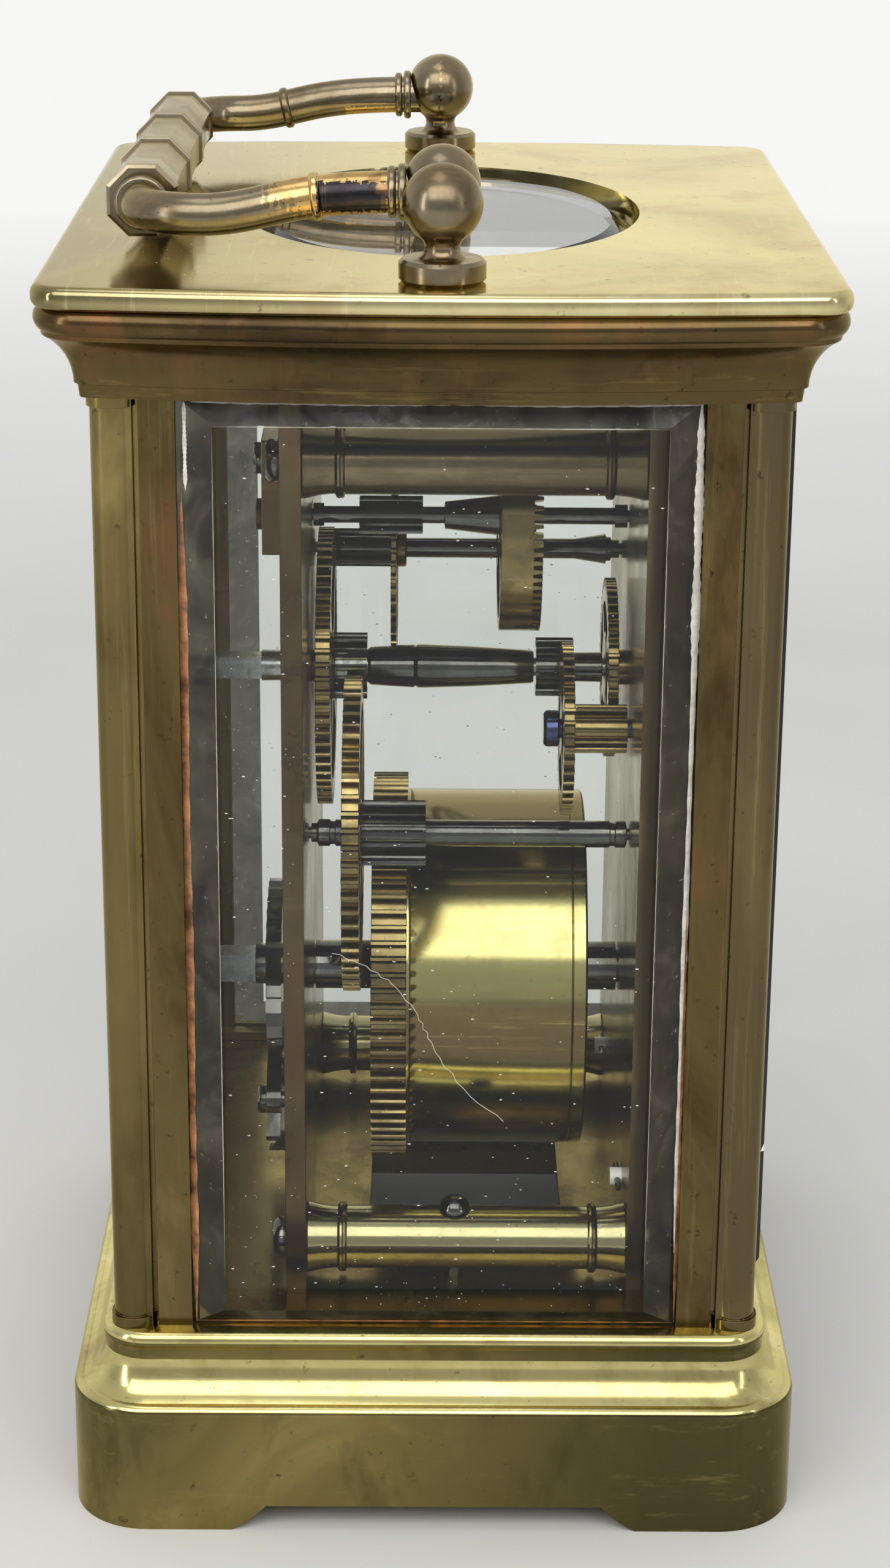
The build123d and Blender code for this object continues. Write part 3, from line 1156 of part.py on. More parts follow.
def click():
    """Pawl on its screw, its nose pointing at the ratchet and stopped just short of it."""
    aim = radians(direction((CLICK_X, CLICK_Z), BARREL_AXIS))
    distance = sqrt((CLICK_X - BARREL_X) ** 2 + (CLICK_Z - BARREL_Z) ** 2)
    reach = distance - RATCHET_R - CLICK_GAP
    nose = [(0, CLICK_R), (reach - 0.5, 0.9), (reach, 0.2), (reach, -0.5), (0, -CLICK_R)]
    tail = Pos(-CLICK_R * 0.9, 0) * Rectangle(CLICK_R * 2.4, CLICK_R * 0.9)
    sketch = Rot(0, 0, degrees(aim)) * (Circle(CLICK_R) + flat(nose) + tail) - Circle(CLICK_STUD_R + RUN_FIT)
    seat = click_seat_y() + CLICK_THICK
    return front_view((CLICK_X, CLICK_Z), seat, sketch, CLICK_THICK)


def click_spring():
    """Strip standing on the back plate: a foot under its screw and a long blade below the ratchet."""
    foot_y = BACK_PLATE_OUT_Y + CLICK_SPRING_HIGH
    foot = rod((CLICK_SPRING_FOOT_X, CLICK_SPRING_FOOT_Z), foot_y, BACK_PLATE_OUT_Y, CLICK_SPRING_FOOT_R)
    foot -= rod((CLICK_SPRING_FOOT_X, CLICK_SPRING_FOOT_Z), foot_y + 1, BACK_PLATE_OUT_Y - 1, PIVOT_R + BORE_FIT)
    tip = (CLICK_SPRING_TIP_X, CLICK_SPRING_TIP_Z)
    aside = CLICK_SPRING_FOOT_R * 0.75
    start = (CLICK_SPRING_FOOT_X - aside, CLICK_SPRING_FOOT_Z - aside * 0.75)
    middle = ((tip[0] + start[0]) / 2, start[1] - aside)
    outer = ThreePointArc(start, middle, tip)
    lift = Vector(0, CLICK_SPRING_THICK, 0)
    inner = ThreePointArc(Vector(*start) + lift, Vector(*middle) + lift, Vector(*tip) + lift)
    blade = make_face([outer, Line(outer @ 1, inner @ 1), inner, Line(inner @ 0, outer @ 0)])
    strip = front_view((0.0, 0.0), foot_y, blade, CLICK_SPRING_WIDE)
    return foot + strip


def pivoted_rod(axis, back_y, front_y, radius, back_end_y, front_end_y):
    """Arbor with a small pivot at each end."""
    body = rod(axis, back_y, front_y, radius)
    body += rod(axis, back_end_y, back_y - 0.5, PIVOT_R)
    return body + rod(axis, front_y + 0.5, front_end_y, PIVOT_R)


def pinion_body(axis, back_y, front_y, teeth, module, toward_axis):
    points = pinion_points(teeth, module, direction(axis, toward_axis))
    return front_view(axis, back_y, flat(points), back_y - front_y)


def plain_arbor(axis, radius):
    back = BACK_PLATE_IN_Y - PIVOT_SHOULDER
    front = FRONT_PLATE_IN_Y + PIVOT_SHOULDER
    return pivoted_rod(axis, back, front, radius, BACK_PLATE_OUT_Y, FRONT_PLATE_OUT_Y)


def intermediate_arbor():
    body = plain_arbor(INTER_AXIS, INTER_ARBOR_R)
    pinion = (INTER_PINION_TEETH, GREAT_MODULE, BARREL_AXIS)
    return body + pinion_body(INTER_AXIS, INTER_PINION_BACK_Y, INTER_PINION_FRONT_Y, *pinion)


def intermediate_wheel():
    points = wheel_points(INTER_TEETH, INTER_MODULE, direction(INTER_AXIS, CENTRE_AXIS))
    root_r = INTER_MODULE * (INTER_TEETH / 2 - WHEEL_DEDENDUM)
    bore = INTER_ARBOR_R + BORE_FIT
    return spoked_wheel(INTER_AXIS, INTER_WHEEL_BACK_Y, INTER_WHEEL_FRONT_Y, points, root_r, INTER_HUB_R, bore)


def centre_arbor():
    """Hollow pipe with its pinion, swelling at the waist and running back into the plate."""
    body = rod(CENTRE_AXIS, BACK_PLATE_IN_Y - PIVOT_SHOULDER, CENTRE_PINION_FRONT_Y, CENTRE_PIPE_R)
    body += taper(CENTRE_AXIS, CENTRE_PINION_FRONT_Y, CENTRE_PIPE_WAIST_Y, CENTRE_PIPE_R, CENTRE_PIPE_WAIST_R)
    body += taper(CENTRE_AXIS, CENTRE_PIPE_WAIST_Y, CENTRE_PIPE_FRONT_Y, CENTRE_PIPE_WAIST_R, CENTRE_PIPE_R)
    body += rod(CENTRE_AXIS, BACK_PLATE_OUT_Y, BACK_PLATE_IN_Y - 1, HAND_COLLAR_R)
    pinion = (CENTRE_PINION_TEETH, INTER_MODULE, INTER_AXIS)
    body += pinion_body(CENTRE_AXIS, CENTRE_WHEEL_FRONT_Y, CENTRE_PINION_FRONT_Y, *pinion)
    return body - rod(CENTRE_AXIS, BACK_PLATE_OUT_Y + 1, CENTRE_PIPE_FRONT_Y - 1, CENTRE_BORE_R)


def centre_wheel():
    points = wheel_points(CENTRE_TEETH, CENTRE_MODULE, direction(CENTRE_AXIS, THIRD_AXIS))
    root_r = CENTRE_MODULE * (CENTRE_TEETH / 2 - WHEEL_DEDENDUM)
    bore = CENTRE_PIPE_R + BORE_FIT
    return spoked_wheel(CENTRE_AXIS, CENTRE_WHEEL_BACK_Y, CENTRE_WHEEL_FRONT_Y, points, root_r, CENTRE_HUB_R, bore)


def hand_set_arbor():
    """Arbor through the hollow pipe, with the setting square behind and the minute hand's seat in front."""
    body = rod(CENTRE_AXIS, HAND_SQUARE_FRONT_Y + 0.5, MINUTE_HAND_Y - HAND_THICK, HAND_ARBOR_R)
    body += rod(CENTRE_AXIS, HAND_SQUARE_FRONT_Y, BACK_PLATE_OUT_Y + SEAT_GAP, HAND_COLLAR_R)
    return body + square_end(CENTRE_AXIS, HAND_SQUARE_BACK_Y, HAND_SQUARE_FRONT_Y - 0.1, HAND_SQUARE_HALF)


def cannon_pinion():
    pinion = (CANNON_TEETH, CANNON_MODULE, MINUTE_AXIS)
    body = pinion_body(CENTRE_AXIS, CANNON_BACK_Y, CANNON_FRONT_Y, *pinion)
    body += rod(CENTRE_AXIS, CANNON_FRONT_Y + 0.1, CROSS_PIN_Y - 0.4, CANNON_PIPE_R)
    bar = Cylinder(CROSS_PIN_R, 2 * CROSS_PIN_HALF)
    pin = Pos(0, CROSS_PIN_Y, CENTRE_Z) * Rot(0, 90, 0) * bar
    return body + pin - rod(CENTRE_AXIS, 0, CROSS_PIN_Y - 2, HAND_ARBOR_R + BORE_FIT)


def minute_stud():
    body = rod(MINUTE_AXIS, STUD_HEAD_BACK_Y, STUD_HEAD_FRONT_Y, STUD_HEAD_R)
    return body + rod(MINUTE_AXIS, STUD_HEAD_FRONT_Y + 0.2, FRONT_PLATE_OUT_Y, STUD_R)


def minute_wheel():
    """Wheel driven by the cannon pinion, with the long pinion that drives the hour wheel."""
    points = wheel_points(MINUTE_TEETH, CANNON_MODULE, direction(MINUTE_AXIS, CENTRE_AXIS))
    body = front_view(MINUTE_AXIS, MINUTE_WHEEL_BACK_Y, flat(points), MINUTE_WHEEL_BACK_Y - MINUTE_WHEEL_FRONT_Y)
    pinion = (MINUTE_PINION_TEETH, HOUR_MODULE, CENTRE_AXIS)
    body += pinion_body(MINUTE_AXIS, MINUTE_WHEEL_FRONT_Y + 0.1, MINUTE_PINION_FRONT_Y, *pinion)
    return body - rod(MINUTE_AXIS, MINUTE_WHEEL_BACK_Y + 1, MINUTE_PINION_FRONT_Y - 1, STUD_R + RUN_FIT)


def hour_wheel():
    points = wheel_points(HOUR_TEETH, HOUR_MODULE, direction(CENTRE_AXIS, MINUTE_AXIS))
    body = front_view(CENTRE_AXIS, HOUR_WHEEL_BACK_Y, flat(points), HOUR_WHEEL_BACK_Y - HOUR_WHEEL_FRONT_Y)
    body += rod(CENTRE_AXIS, HOUR_WHEEL_FRONT_Y + 0.1, HOUR_HAND_Y - HAND_THICK, HOUR_PIPE_R)
    return body - rod(CENTRE_AXIS, HOUR_WHEEL_BACK_Y + 1, HOUR_HAND_Y - 1, HOUR_PIPE_BORE_R)


def third_arbor():
    body = plain_arbor(THIRD_AXIS, THIRD_ARBOR_R)
    body += taper(THIRD_AXIS, THIRD_TAPER_BACK_Y, THIRD_TAPER_FRONT_Y, THIRD_ARBOR_R, THIRD_TAPER_R)
    pinion = (THIRD_PINION_TEETH, CENTRE_MODULE, CENTRE_AXIS)
    return body + pinion_body(THIRD_AXIS, THIRD_PINION_BACK_Y, THIRD_PINION_FRONT_Y, *pinion)


def third_wheel():
    points = wheel_points(THIRD_TEETH, THIRD_MODULE, direction(THIRD_AXIS, CONTRATE_AXIS))
    root_r = THIRD_MODULE * (THIRD_TEETH / 2 - WHEEL_DEDENDUM)
    bore = THIRD_ARBOR_R + BORE_FIT
    sizes = (points, root_r, THIRD_HUB_R, bore)
    wheel = spoked_wheel(THIRD_AXIS, THIRD_PINION_FRONT_Y, THIRD_WHEEL_FRONT_Y, *sizes)
    wheel += rod(THIRD_AXIS, THIRD_WHEEL_FRONT_Y + 0.1, THIRD_COLLET_FRONT_Y, THIRD_COLLET_R)
    return wheel - rod(THIRD_AXIS, THIRD_PINION_FRONT_Y + 1, THIRD_COLLET_FRONT_Y - 1, bore)


def contrate_arbor():
    back = BACK_PLATE_IN_Y - PIVOT_SHOULDER
    front = FRONT_PLATE_IN_Y + PIVOT_SHOULDER
    body = pivoted_rod(CONTRATE_AXIS, back, front, CONTRATE_ARBOR_R, COCK_OUT_Y - 0.6, FRONT_PLATE_OUT_Y)
    body += rod(CONTRATE_AXIS, back, back - 1.0, COLLAR_NEAR_PLATE_R)
    body += rod(CONTRATE_AXIS, front + 1.2, front, COLLAR_NEAR_PLATE_R)
    collet = (CONTRATE_COLLET_LOW_R, CONTRATE_COLLET_R)
    body += taper(CONTRATE_AXIS, CONTRATE_COLLET_BACK_Y, CONTRATE_WHEEL_BACK_Y, *collet)
    pinion = (CONTRATE_PINION_TEETH, THIRD_MODULE, THIRD_AXIS)
    return body + pinion_body(CONTRATE_AXIS, CONTRATE_PINION_BACK_Y, CONTRATE_PINION_FRONT_Y, *pinion)


def contrate_wheel():
    """Spoked web with a deep rim whose crown teeth point to the front."""
    inner_r = CONTRATE_R - CONTRATE_RIM
    web = Circle(CONTRATE_R) - crossings(inner_r - 0.3, CONTRATE_HUB_R) - Circle(CONTRATE_ARBOR_R + BORE_FIT)
    body = front_view(CONTRATE_AXIS, CONTRATE_WHEEL_BACK_Y, web, CONTRATE_WEB)
    rim = Circle(CONTRATE_R) - Circle(inner_r)
    depth = CONTRATE_WHEEL_BACK_Y - CONTRATE_TOOTH_FRONT_Y
    body += front_view(CONTRATE_AXIS, CONTRATE_WHEEL_BACK_Y, rim, depth)
    step = 360 / CONTRATE_TEETH
    gap = radians(step) * CONTRATE_R * 0.6
    low = CONTRATE_TOOTH_FRONT_Y - 0.5
    high = CONTRATE_RIM_FRONT_Y
    notch = flat([(-gap / 2, low), (gap / 2, low), (gap * 0.3, high), (-gap * 0.3, high)])
    cutter = Pos(0, 0, inner_r - 0.5) * extrude(notch, amount=CONTRATE_RIM + 1)
    cutters = [Pos(0, 0, CONTRATE_Z) * Rot(0, index * step, 0) * cutter for index in range(CONTRATE_TEETH)]
    return body - cutters


def dial():
    body = block((-DIAL_HALF_X, DIAL_HALF_X), (DIAL_FRONT_Y, DIAL_BACK_Y), (DIAL_LOW_Z, DIAL_HIGH_Z))
    body -= rod(CENTRE_AXIS, DIAL_BACK_Y + 1, DIAL_FRONT_Y - 1, DIAL_HOLE_R)
    for foot in dial_feet():
        body += rod(foot, DIAL_FOOT_END_Y, DIAL_BACK_Y, DIAL_FOOT_R)
        body += rod(foot, FRONT_PLATE_OUT_Y, DIAL_BACK_Y, DIAL_COLLAR_R)
        bar = Cylinder(DIAL_PIN_R + BORE_FIT, 3 * DIAL_FOOT_R)
        body -= Pos(foot[0], DIAL_PIN_Y, foot[1]) * Rot(0, 90, 0) * bar
    return body


def dial_pins():
    pins = []
    for x, z in dial_feet():
        pin = Pos(x, DIAL_PIN_Y, z) * Rot(0, 90, 0) * Cylinder(DIAL_PIN_R, DIAL_PIN_LENGTH)
        pins.append(pin.solid())
    return Compound(children=pins)


def hand(length, moon_at, boss_r, bore_r, back_y, clock_angle):
    """Tapered hand with an open moon near its tip; the angle is clockwise from twelve."""
    wide = HAND_WIDTH / 2
    tip = HAND_TIP_WIDTH / 2
    blade = flat([(-wide, 0), (wide, 0), (tip, length), (-tip, length)])
    sketch = blade + Circle(boss_r) + Pos(0, moon_at) * Circle(HAND_MOON_R)
    sketch -= Pos(0, moon_at) * Circle(HAND_MOON_R * 0.6)
    sketch -= Circle(bore_r)
    return front_view(CENTRE_AXIS, back_y, Rot(0, 0, -clock_angle) * sketch, HAND_THICK)


def hour_hand():
    moon = HOUR_HAND_LENGTH * HOUR_MOON_SHARE
    return hand(HOUR_HAND_LENGTH, moon, HOUR_BOSS_R, HOUR_PIPE_R + BORE_FIT, HOUR_HAND_Y, HOUR_HAND_ANGLE)


def minute_hand():
    moon = MINUTE_HAND_LENGTH * MINUTE_MOON_SHARE
    return hand(MINUTE_HAND_LENGTH, moon, MINUTE_BOSS_R, HAND_ARBOR_R + BORE_FIT, MINUTE_HAND_Y, MINUTE_HAND_ANGLE)


def platform_plate():
    x = (-PLATFORM_HALF_X, PLATFORM_HALF_X)
    body = block(x, (FRONT_PLATE_OUT_Y, BACK_PLATE_OUT_Y), (MOVEMENT_TOP_Z, PLATFORM_TOP_Z))
    low = MOVEMENT_TOP_Z - 1
    high = PLATFORM_TOP_Z + 1
    body -= upright(0, ESCAPE_Y, low, high, ESCAPE_PINION_R + 0.4)
    for x_screw, y_screw in platform_screw_places():
        body -= upright(x_screw, y_screw, low, high, PLATFORM_SCREW_R + BORE_FIT)
    for y in (LEVER_Y, BALANCE_Y):
        body -= upright(0, y, low, high, STAFF_R + RUN_FIT)
    return body


def escape_wheel():
    step = 2 * pi / ESCAPE_TEETH
    points = []
    for tooth in range(ESCAPE_TEETH):
        turn = tooth * step
        points.append((ESCAPE_R * cos(turn), ESCAPE_R * sin(turn)))
        points.append((ESCAPE_R * cos(turn + 0.12 * step), ESCAPE_R * sin(turn + 0.12 * step)))
        points.append((ESCAPE_ROOT_R * cos(turn + 0.5 * step), ESCAPE_ROOT_R * sin(turn + 0.5 * step)))
    wheel = flat(points) - crossings(ESCAPE_RIM_R, ESCAPE_HUB_R)
    body = Pos(0, ESCAPE_Y, ESCAPE_WHEEL_Z) * extrude(wheel, amount=ESCAPE_THICK)
    body += upright(0, ESCAPE_Y, ESCAPE_PINION_LOW_Z - 0.8, ESCAPE_WHEEL_Z + 1.6, STAFF_R)
    module = 2 * ESCAPE_PINION_R / (ESCAPE_PINION_TEETH + 2 * LEAF_ADDENDUM)
    leaves = flat(pinion_points(ESCAPE_PINION_TEETH, module, 90))
    height = ESCAPE_PINION_HIGH_Z - ESCAPE_PINION_LOW_Z
    return body + Pos(0, ESCAPE_Y, ESCAPE_PINION_LOW_Z) * extrude(leaves, amount=height)


def lever():
    """Pallet arms reaching past the escape wheel on one side, fork toward the balance on the other."""
    sketch = Pos(0, LEVER_LENGTH / 2) * Rectangle(LEVER_STEM, LEVER_LENGTH)
    sketch += Pos(0, LEVER_LENGTH) * Rectangle(FORK_WIDE, LEVER_ARM)
    sketch -= Pos(0, LEVER_LENGTH + LEVER_STEM / 2) * Rectangle(FORK_GAP, LEVER_ARM)
    sketch += Rectangle(2 * PALLET_HALF, LEVER_ARM) + Circle(LEVER_HUB_R)
    pallet_y = LEVER_ARM / 4 - PALLET_LONG / 2 - LEVER_ARM / 2
    for side in (-1, 1):
        sketch += Pos(side * (PALLET_HALF - PALLET_WIDE / 2), pallet_y) * Rectangle(PALLET_WIDE, PALLET_LONG)
    low_z = ESCAPE_WHEEL_Z - 0.1
    body = Pos(0, LEVER_Y, low_z) * extrude(sketch, amount=LEVER_THICK)
    return body + upright(0, LEVER_Y, MOVEMENT_TOP_Z + 0.2, low_z + LEVER_THICK + 0.4, STAFF_R)


def balance():
    ring = Circle(BALANCE_R) - Circle(BALANCE_R - BALANCE_RIM)
    wheel = ring + Rectangle(2 * BALANCE_R - BALANCE_RIM, BALANCE_ARM) + Circle(BALANCE_HUB_R)
    body = Pos(0, BALANCE_Y, BALANCE_Z) * extrude(wheel, amount=BALANCE_THICK)
    body += upright(0, BALANCE_Y, MOVEMENT_TOP_Z + 0.2, STAFF_HIGH_Z, STAFF_R)
    body += upright(0, BALANCE_Y, ROLLER_Z, ROLLER_Z + ROLLER_THICK, ROLLER_R)
    return body


def hairspring():
    ribbon = spiral_ribbon(HAIR_INNER_R, HAIR_OUTER_R, HAIR_TURNS, HAIR_THICK)
    collet = Circle(HAIR_INNER_R - 0.02) - Circle(STAFF_R + BORE_FIT)
    sketch = ribbon + collet
    return Pos(0, BALANCE_Y, HAIR_Z) * extrude(sketch, amount=HAIR_HEIGHT)


def balance_cock():
    x = (-BALANCE_COCK_HALF_X, BALANCE_COCK_HALF_X)
    top = BALANCE_COCK_Z + BALANCE_COCK_THICK
    body = block(x, (BALANCE_COCK_FOOT_Y, BACK_PLATE_OUT_Y), (PLATFORM_TOP_Z, top))
    body += block(x, (BALANCE_Y, BACK_PLATE_OUT_Y), (BALANCE_COCK_Z, top))
    body += upright(0, BALANCE_Y, BALANCE_COCK_Z, top, BALANCE_COCK_HALF_X)
    return body - upright(0, BALANCE_Y, BALANCE_COCK_Z - 1, STAFF_HIGH_Z + 0.05, STAFF_R + RUN_FIT)


def hairspring_gap():
    return (HAIR_OUTER_R - HAIR_INNER_R) / HAIR_TURNS - HAIR_THICK


def mainspring_gap():
    return (SPRING_OUTER_R - SPRING_INNER_R) / SPRING_TURNS - SPRING_THICK


def nodes():
    return {
        "base_plinth": base_plinth,
        "base_floor": base_floor,
        "post_front_left": lambda: post(-1, -1),
        "post_front_right": lambda: post(1, -1),
        "post_rear_left": lambda: post(-1, 1),
        "post_rear_right": lambda: post(1, 1),
        "post_screws": post_screws,
        "cornice_frame": cornice_frame,
        "top_plate": top_plate,
        "top_glass": top_glass,
        "top_glass_ring": top_glass_ring,
        "side_glass_left": lambda: side_glass(-1),
        "side_glass_right": lambda: side_glass(1),
        "front_glass": front_glass,
        "door_frame": door_frame,
        "door_glass": door_glass,
        "door_knob": door_knob,
        "handle_post_left": lambda: handle_post(-1),
        "handle_post_right": lambda: handle_post(1),
        "handle_arm_left": lambda: handle_arm(-1),
        "handle_arm_right": lambda: handle_arm(1),
        "handle_grip": handle_grip,
        "back_plate": back_plate,
        "front_plate": front_plate,
        "upper_pillars": upper_pillars,
        "lower_pillars": lower_pillars,
        "pillar_screws": pillar_screws,
        "holding_screws": holding_screws,
        "contrate_cock": contrate_cock,
        "movement_screws": movement_screws,
        "barrel_drum": barrel_drum,
        "barrel_cover": barrel_cover,
        "mainspring": mainspring,
        "barrel_arbor": barrel_arbor,
        "ratchet_wheel": ratchet_wheel,
        "click": click,
        "click_spring": click_spring,
        "intermediate_arbor": intermediate_arbor,
        "intermediate_wheel": intermediate_wheel,
        "centre_arbor": centre_arbor,
        "centre_wheel": centre_wheel,
        "hand_set_arbor": hand_set_arbor,
        "cannon_pinion": cannon_pinion,
        "minute_stud": minute_stud,
        "minute_wheel": minute_wheel,
        "hour_wheel": hour_wheel,
        "third_arbor": third_arbor,
        "third_wheel": third_wheel,
        "contrate_arbor": contrate_arbor,
        "contrate_wheel": contrate_wheel,
        "dial": dial,
        "dial_pins": dial_pins,
        "hour_hand": hour_hand,
        "minute_hand": minute_hand,
        "platform_plate": platform_plate,
        "escape_wheel": escape_wheel,
        "lever": lever,
        "balance": balance,
        "hairspring": hairspring,
        "balance_cock": balance_cock,
    }


def main():
    os.makedirs("parts", exist_ok=True)
    for name, build in nodes().items():
        export_step(build(), f"parts/{name}.step")
    print("hairspring gap", round(hairspring_gap(), 3), "mainspring gap", round(mainspring_gap(), 3))
    print("axes", BARREL_AXIS, INTER_AXIS, CENTRE_AXIS, THIRD_AXIS, CONTRATE_AXIS, MINUTE_AXIS)


if __name__ == "__main__":
    main()
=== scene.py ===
import json
from math import atan2, cos, pi, radians, sin, sqrt

import bmesh
import bpy
from bpy.props import FloatProperty, FloatVectorProperty, IntProperty, PointerProperty
from bpy.types import NodeSocket, Operator, Panel, PropertyGroup
from mathutils import Matrix, Vector


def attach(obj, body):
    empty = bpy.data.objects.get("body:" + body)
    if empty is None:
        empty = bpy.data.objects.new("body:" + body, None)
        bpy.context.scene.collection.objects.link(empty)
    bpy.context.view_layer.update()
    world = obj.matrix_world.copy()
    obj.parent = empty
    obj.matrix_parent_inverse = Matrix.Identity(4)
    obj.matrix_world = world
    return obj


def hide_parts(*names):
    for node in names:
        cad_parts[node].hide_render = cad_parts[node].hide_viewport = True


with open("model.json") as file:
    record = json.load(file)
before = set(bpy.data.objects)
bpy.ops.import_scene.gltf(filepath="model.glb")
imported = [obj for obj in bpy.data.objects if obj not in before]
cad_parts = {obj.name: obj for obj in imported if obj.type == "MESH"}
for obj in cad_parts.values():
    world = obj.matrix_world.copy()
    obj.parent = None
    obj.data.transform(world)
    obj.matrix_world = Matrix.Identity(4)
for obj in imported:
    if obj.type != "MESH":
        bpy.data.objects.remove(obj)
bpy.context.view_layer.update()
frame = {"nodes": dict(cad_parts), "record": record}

bl_info = {
    "name": "Glazed carriage clock",
    "version": (1, 0, 0),
    "blender": (4, 5, 0),
    "location": "3D View > Sidebar > Clock",
    "description": "Dresses the carriage clock's frame with finished pieces, materials, lamps and a camera",
    "category": "Object",
}

NODES = frame["nodes"]
MM = 0.001

# Camera place in mm, aim angles in radians and focal length in pixels, solved from the photo's corners
CAMERA_PLACE = (-301.1, 1.19, 164.86)
CAMERA_YAW = 0.00662
CAMERA_PITCH = 0.3386
CAMERA_ROLL = 0.00831
FOCAL_PIXELS = 5336.1
IMAGE_HEIGHT = 2560

# Sizes in mm, the same as the solids have
BARREL_AXIS = (0.0, 40.05)
INTER_X = -11.5
THIRD_X = 11.76
MINUTE_X = -9.9
GREAT_TEETH, GREAT_MODULE = 80, 0.467
INTER_TEETH, INTER_MODULE = 60, 0.48
CENTRE_TEETH, CENTRE_MODULE = 64, 0.404
THIRD_TEETH, THIRD_MODULE = 60, 0.394
MINUTE_TEETH, CANNON_MODULE = 42, 0.369
LARGE_PINION, SMALL_PINION, CANNON_TEETH = 12, 8, 14
HOUR_TEETH = 48
BACK_IN_Y, BACK_OUT_Y = 12.0, 13.9
FRONT_IN_Y, FRONT_OUT_Y = -18.0, -19.9
PILLAR_X = 22.5
PILLAR_HEIGHTS = (96.8, 21.5)
GREAT_BACK_Y, GREAT_FRONT_Y = 6.15, 2.8
DRUM_R = 17.5
DRUM_BACK_Y, DRUM_FRONT_Y = 3.3, -14.3
CONTRATE_R = 10.9
CONTRATE_TEETH = 78
CONTRATE_BACK_Y = -5.7
CANNON_BACK_Y = -9.4
STUD_BACK_Y = -9.9
HOOK_PLACE = (0.0, -0.1, 20.05)
GRIP_HALF = 23.6
GRIP_PLACE = (0.0, 25.4, 119.3)
DIAL_FRONT_Y = -25.2
PANE_OUT_X = 36.3
LIP_X = 34.65
POST_EDGE_Y = 22.1
PANE_LOW_Z, PANE_TOP_Z = 18.6, 105.0
STRIP_END_X, STRIP_END_Y = 31.9, 25.4
COVE_LOW_Z = 12.2
FLOOR_Z, TOP_Z = 17.62, 115.0

# Mesh limits
CREASE = radians(32)
MERGE_GAP = 0.0005 * MM
FLAT_TURN = radians(0.5)


def colour_property(name, description, default):
    return FloatVectorProperty(name=name, description=description, subtype="COLOR", size=3, default=default)


class ClockFinishes(PropertyGroup):
    """Base colours of the metals, the glass and the dial."""

    # Several of these base colours are partly the metals' own tarnished tone and partly painted shade: the
    # case, plinth, movement, wheel brass and steel are set far darker than these metals reflect, standing in
    # for the dark surroundings they reflect and the shade inside the case.
    case_brass: colour_property("Case brass", "Posts, cornice and door", (0.20, 0.150, 0.060))
    plinth_brass: colour_property("Plinth brass", "Plinth", (0.24, 0.19, 0.068))
    top_brass: colour_property("Top plate brass", "Rubbed plate on top", (0.84, 0.75, 0.40))
    plate_brass: colour_property("Movement brass", "Movement plates", (0.12, 0.085, 0.042))
    wheel_brass: colour_property("Wheel brass", "Wheels", (0.24, 0.185, 0.08))
    pillar_brass: colour_property("Pillar brass", "Turned pillars", (0.42, 0.385, 0.21))
    drum_brass: colour_property("Drum brass", "Spring barrel", (0.56, 0.50, 0.21))
    handle_bronze: colour_property("Handle bronze", "Darkened handle", (0.26, 0.215, 0.142))
    steel: colour_property("Steel", "Arbors, pinions and screws", (0.12, 0.12, 0.112))
    blued: colour_property("Blued steel", "Hands, springs and stud", (0.03, 0.045, 0.11))
    glass: colour_property("Glass", "Bevelled panes", (0.96, 0.985, 0.97))
    enamel: colour_property("Enamel", "Dial", (0.86, 0.85, 0.80))


class ClockSizes(PropertyGroup):
    """Sizes and counts of the finishing touches."""

    edge_round: FloatProperty(
        name="Edge rounding", description="Width of the rounded edges on flat parts",
        default=0.15 * MM, unit="LENGTH",
    )
    turned_sides: IntProperty(
        name="Turned sides", description="Segments round a turned part", default=96, min=24
    )
    minute_marks: IntProperty(name="Minute marks", description="Marks round the dial", default=60, min=12)
    chapter_radius: FloatProperty(
        name="Chapter radius", description="Radius of the hour figures", default=18.6 * MM, unit="LENGTH"
    )
    figure_height: FloatProperty(
        name="Figure height", description="Height of the hour figures", default=5.4 * MM, unit="LENGTH"
    )
    dust_density: FloatProperty(
        name="Dust density", description="Flakes on each square metre of glass", default=420000.0, min=0.0
    )
    dust_size: FloatProperty(
        name="Dust size", description="Largest flake radius", default=0.12 * MM, unit="LENGTH"
    )


def sizes():
    return bpy.context.scene.clock_sizes


# Nodes

def feed(tree, value, socket):
    """Links an output to the socket, or sets a value on it."""
    if isinstance(value, NodeSocket):
        tree.links.new(value, socket)
    else:
        socket.default_value = (*value, 1) if socket.type == "RGBA" else value


def set_inputs(tree, node, **values):
    """Feeds inputs by name, with an underscore for each space."""
    for name, value in values.items():
        feed(tree, value, node.inputs[name.replace("_", " ")])


def add(tree, kind, **values):
    """New node. Names in lower case are its properties, and the others are its inputs."""
    node = tree.nodes.new(kind)
    for name in [name for name in values if name.islower()]:
        setattr(node, name, values.pop(name))
    set_inputs(tree, node, **values)
    return node


def calculate(tree, operation, *values):
    node = add(tree, "ShaderNodeMath", operation=operation)
    for value, socket in zip(values, node.inputs):
        feed(tree, value, socket)
    return node.outputs["Value"]


def object_coordinates(tree, scale=(1.0, 1.0, 1.0), turn=(0.0, 0.0, 0.0)):
    place = add(tree, "ShaderNodeTexCoord").outputs["Object"]
    return add(tree, "ShaderNodeMapping", Vector=place, Scale=scale, Rotation=turn).outputs["Vector"]


def axis_of(tree, vector, axis):
    return add(tree, "ShaderNodeSeparateXYZ", Vector=vector).outputs[axis]


def noise(tree, vector, scale, detail=4.0, roughness=0.6, distortion=0.0):
    node = add(
        tree, "ShaderNodeTexNoise", Vector=vector,
        Scale=scale, Detail=detail, Roughness=roughness, Distortion=distortion,
    )
    return node.outputs["Fac"]


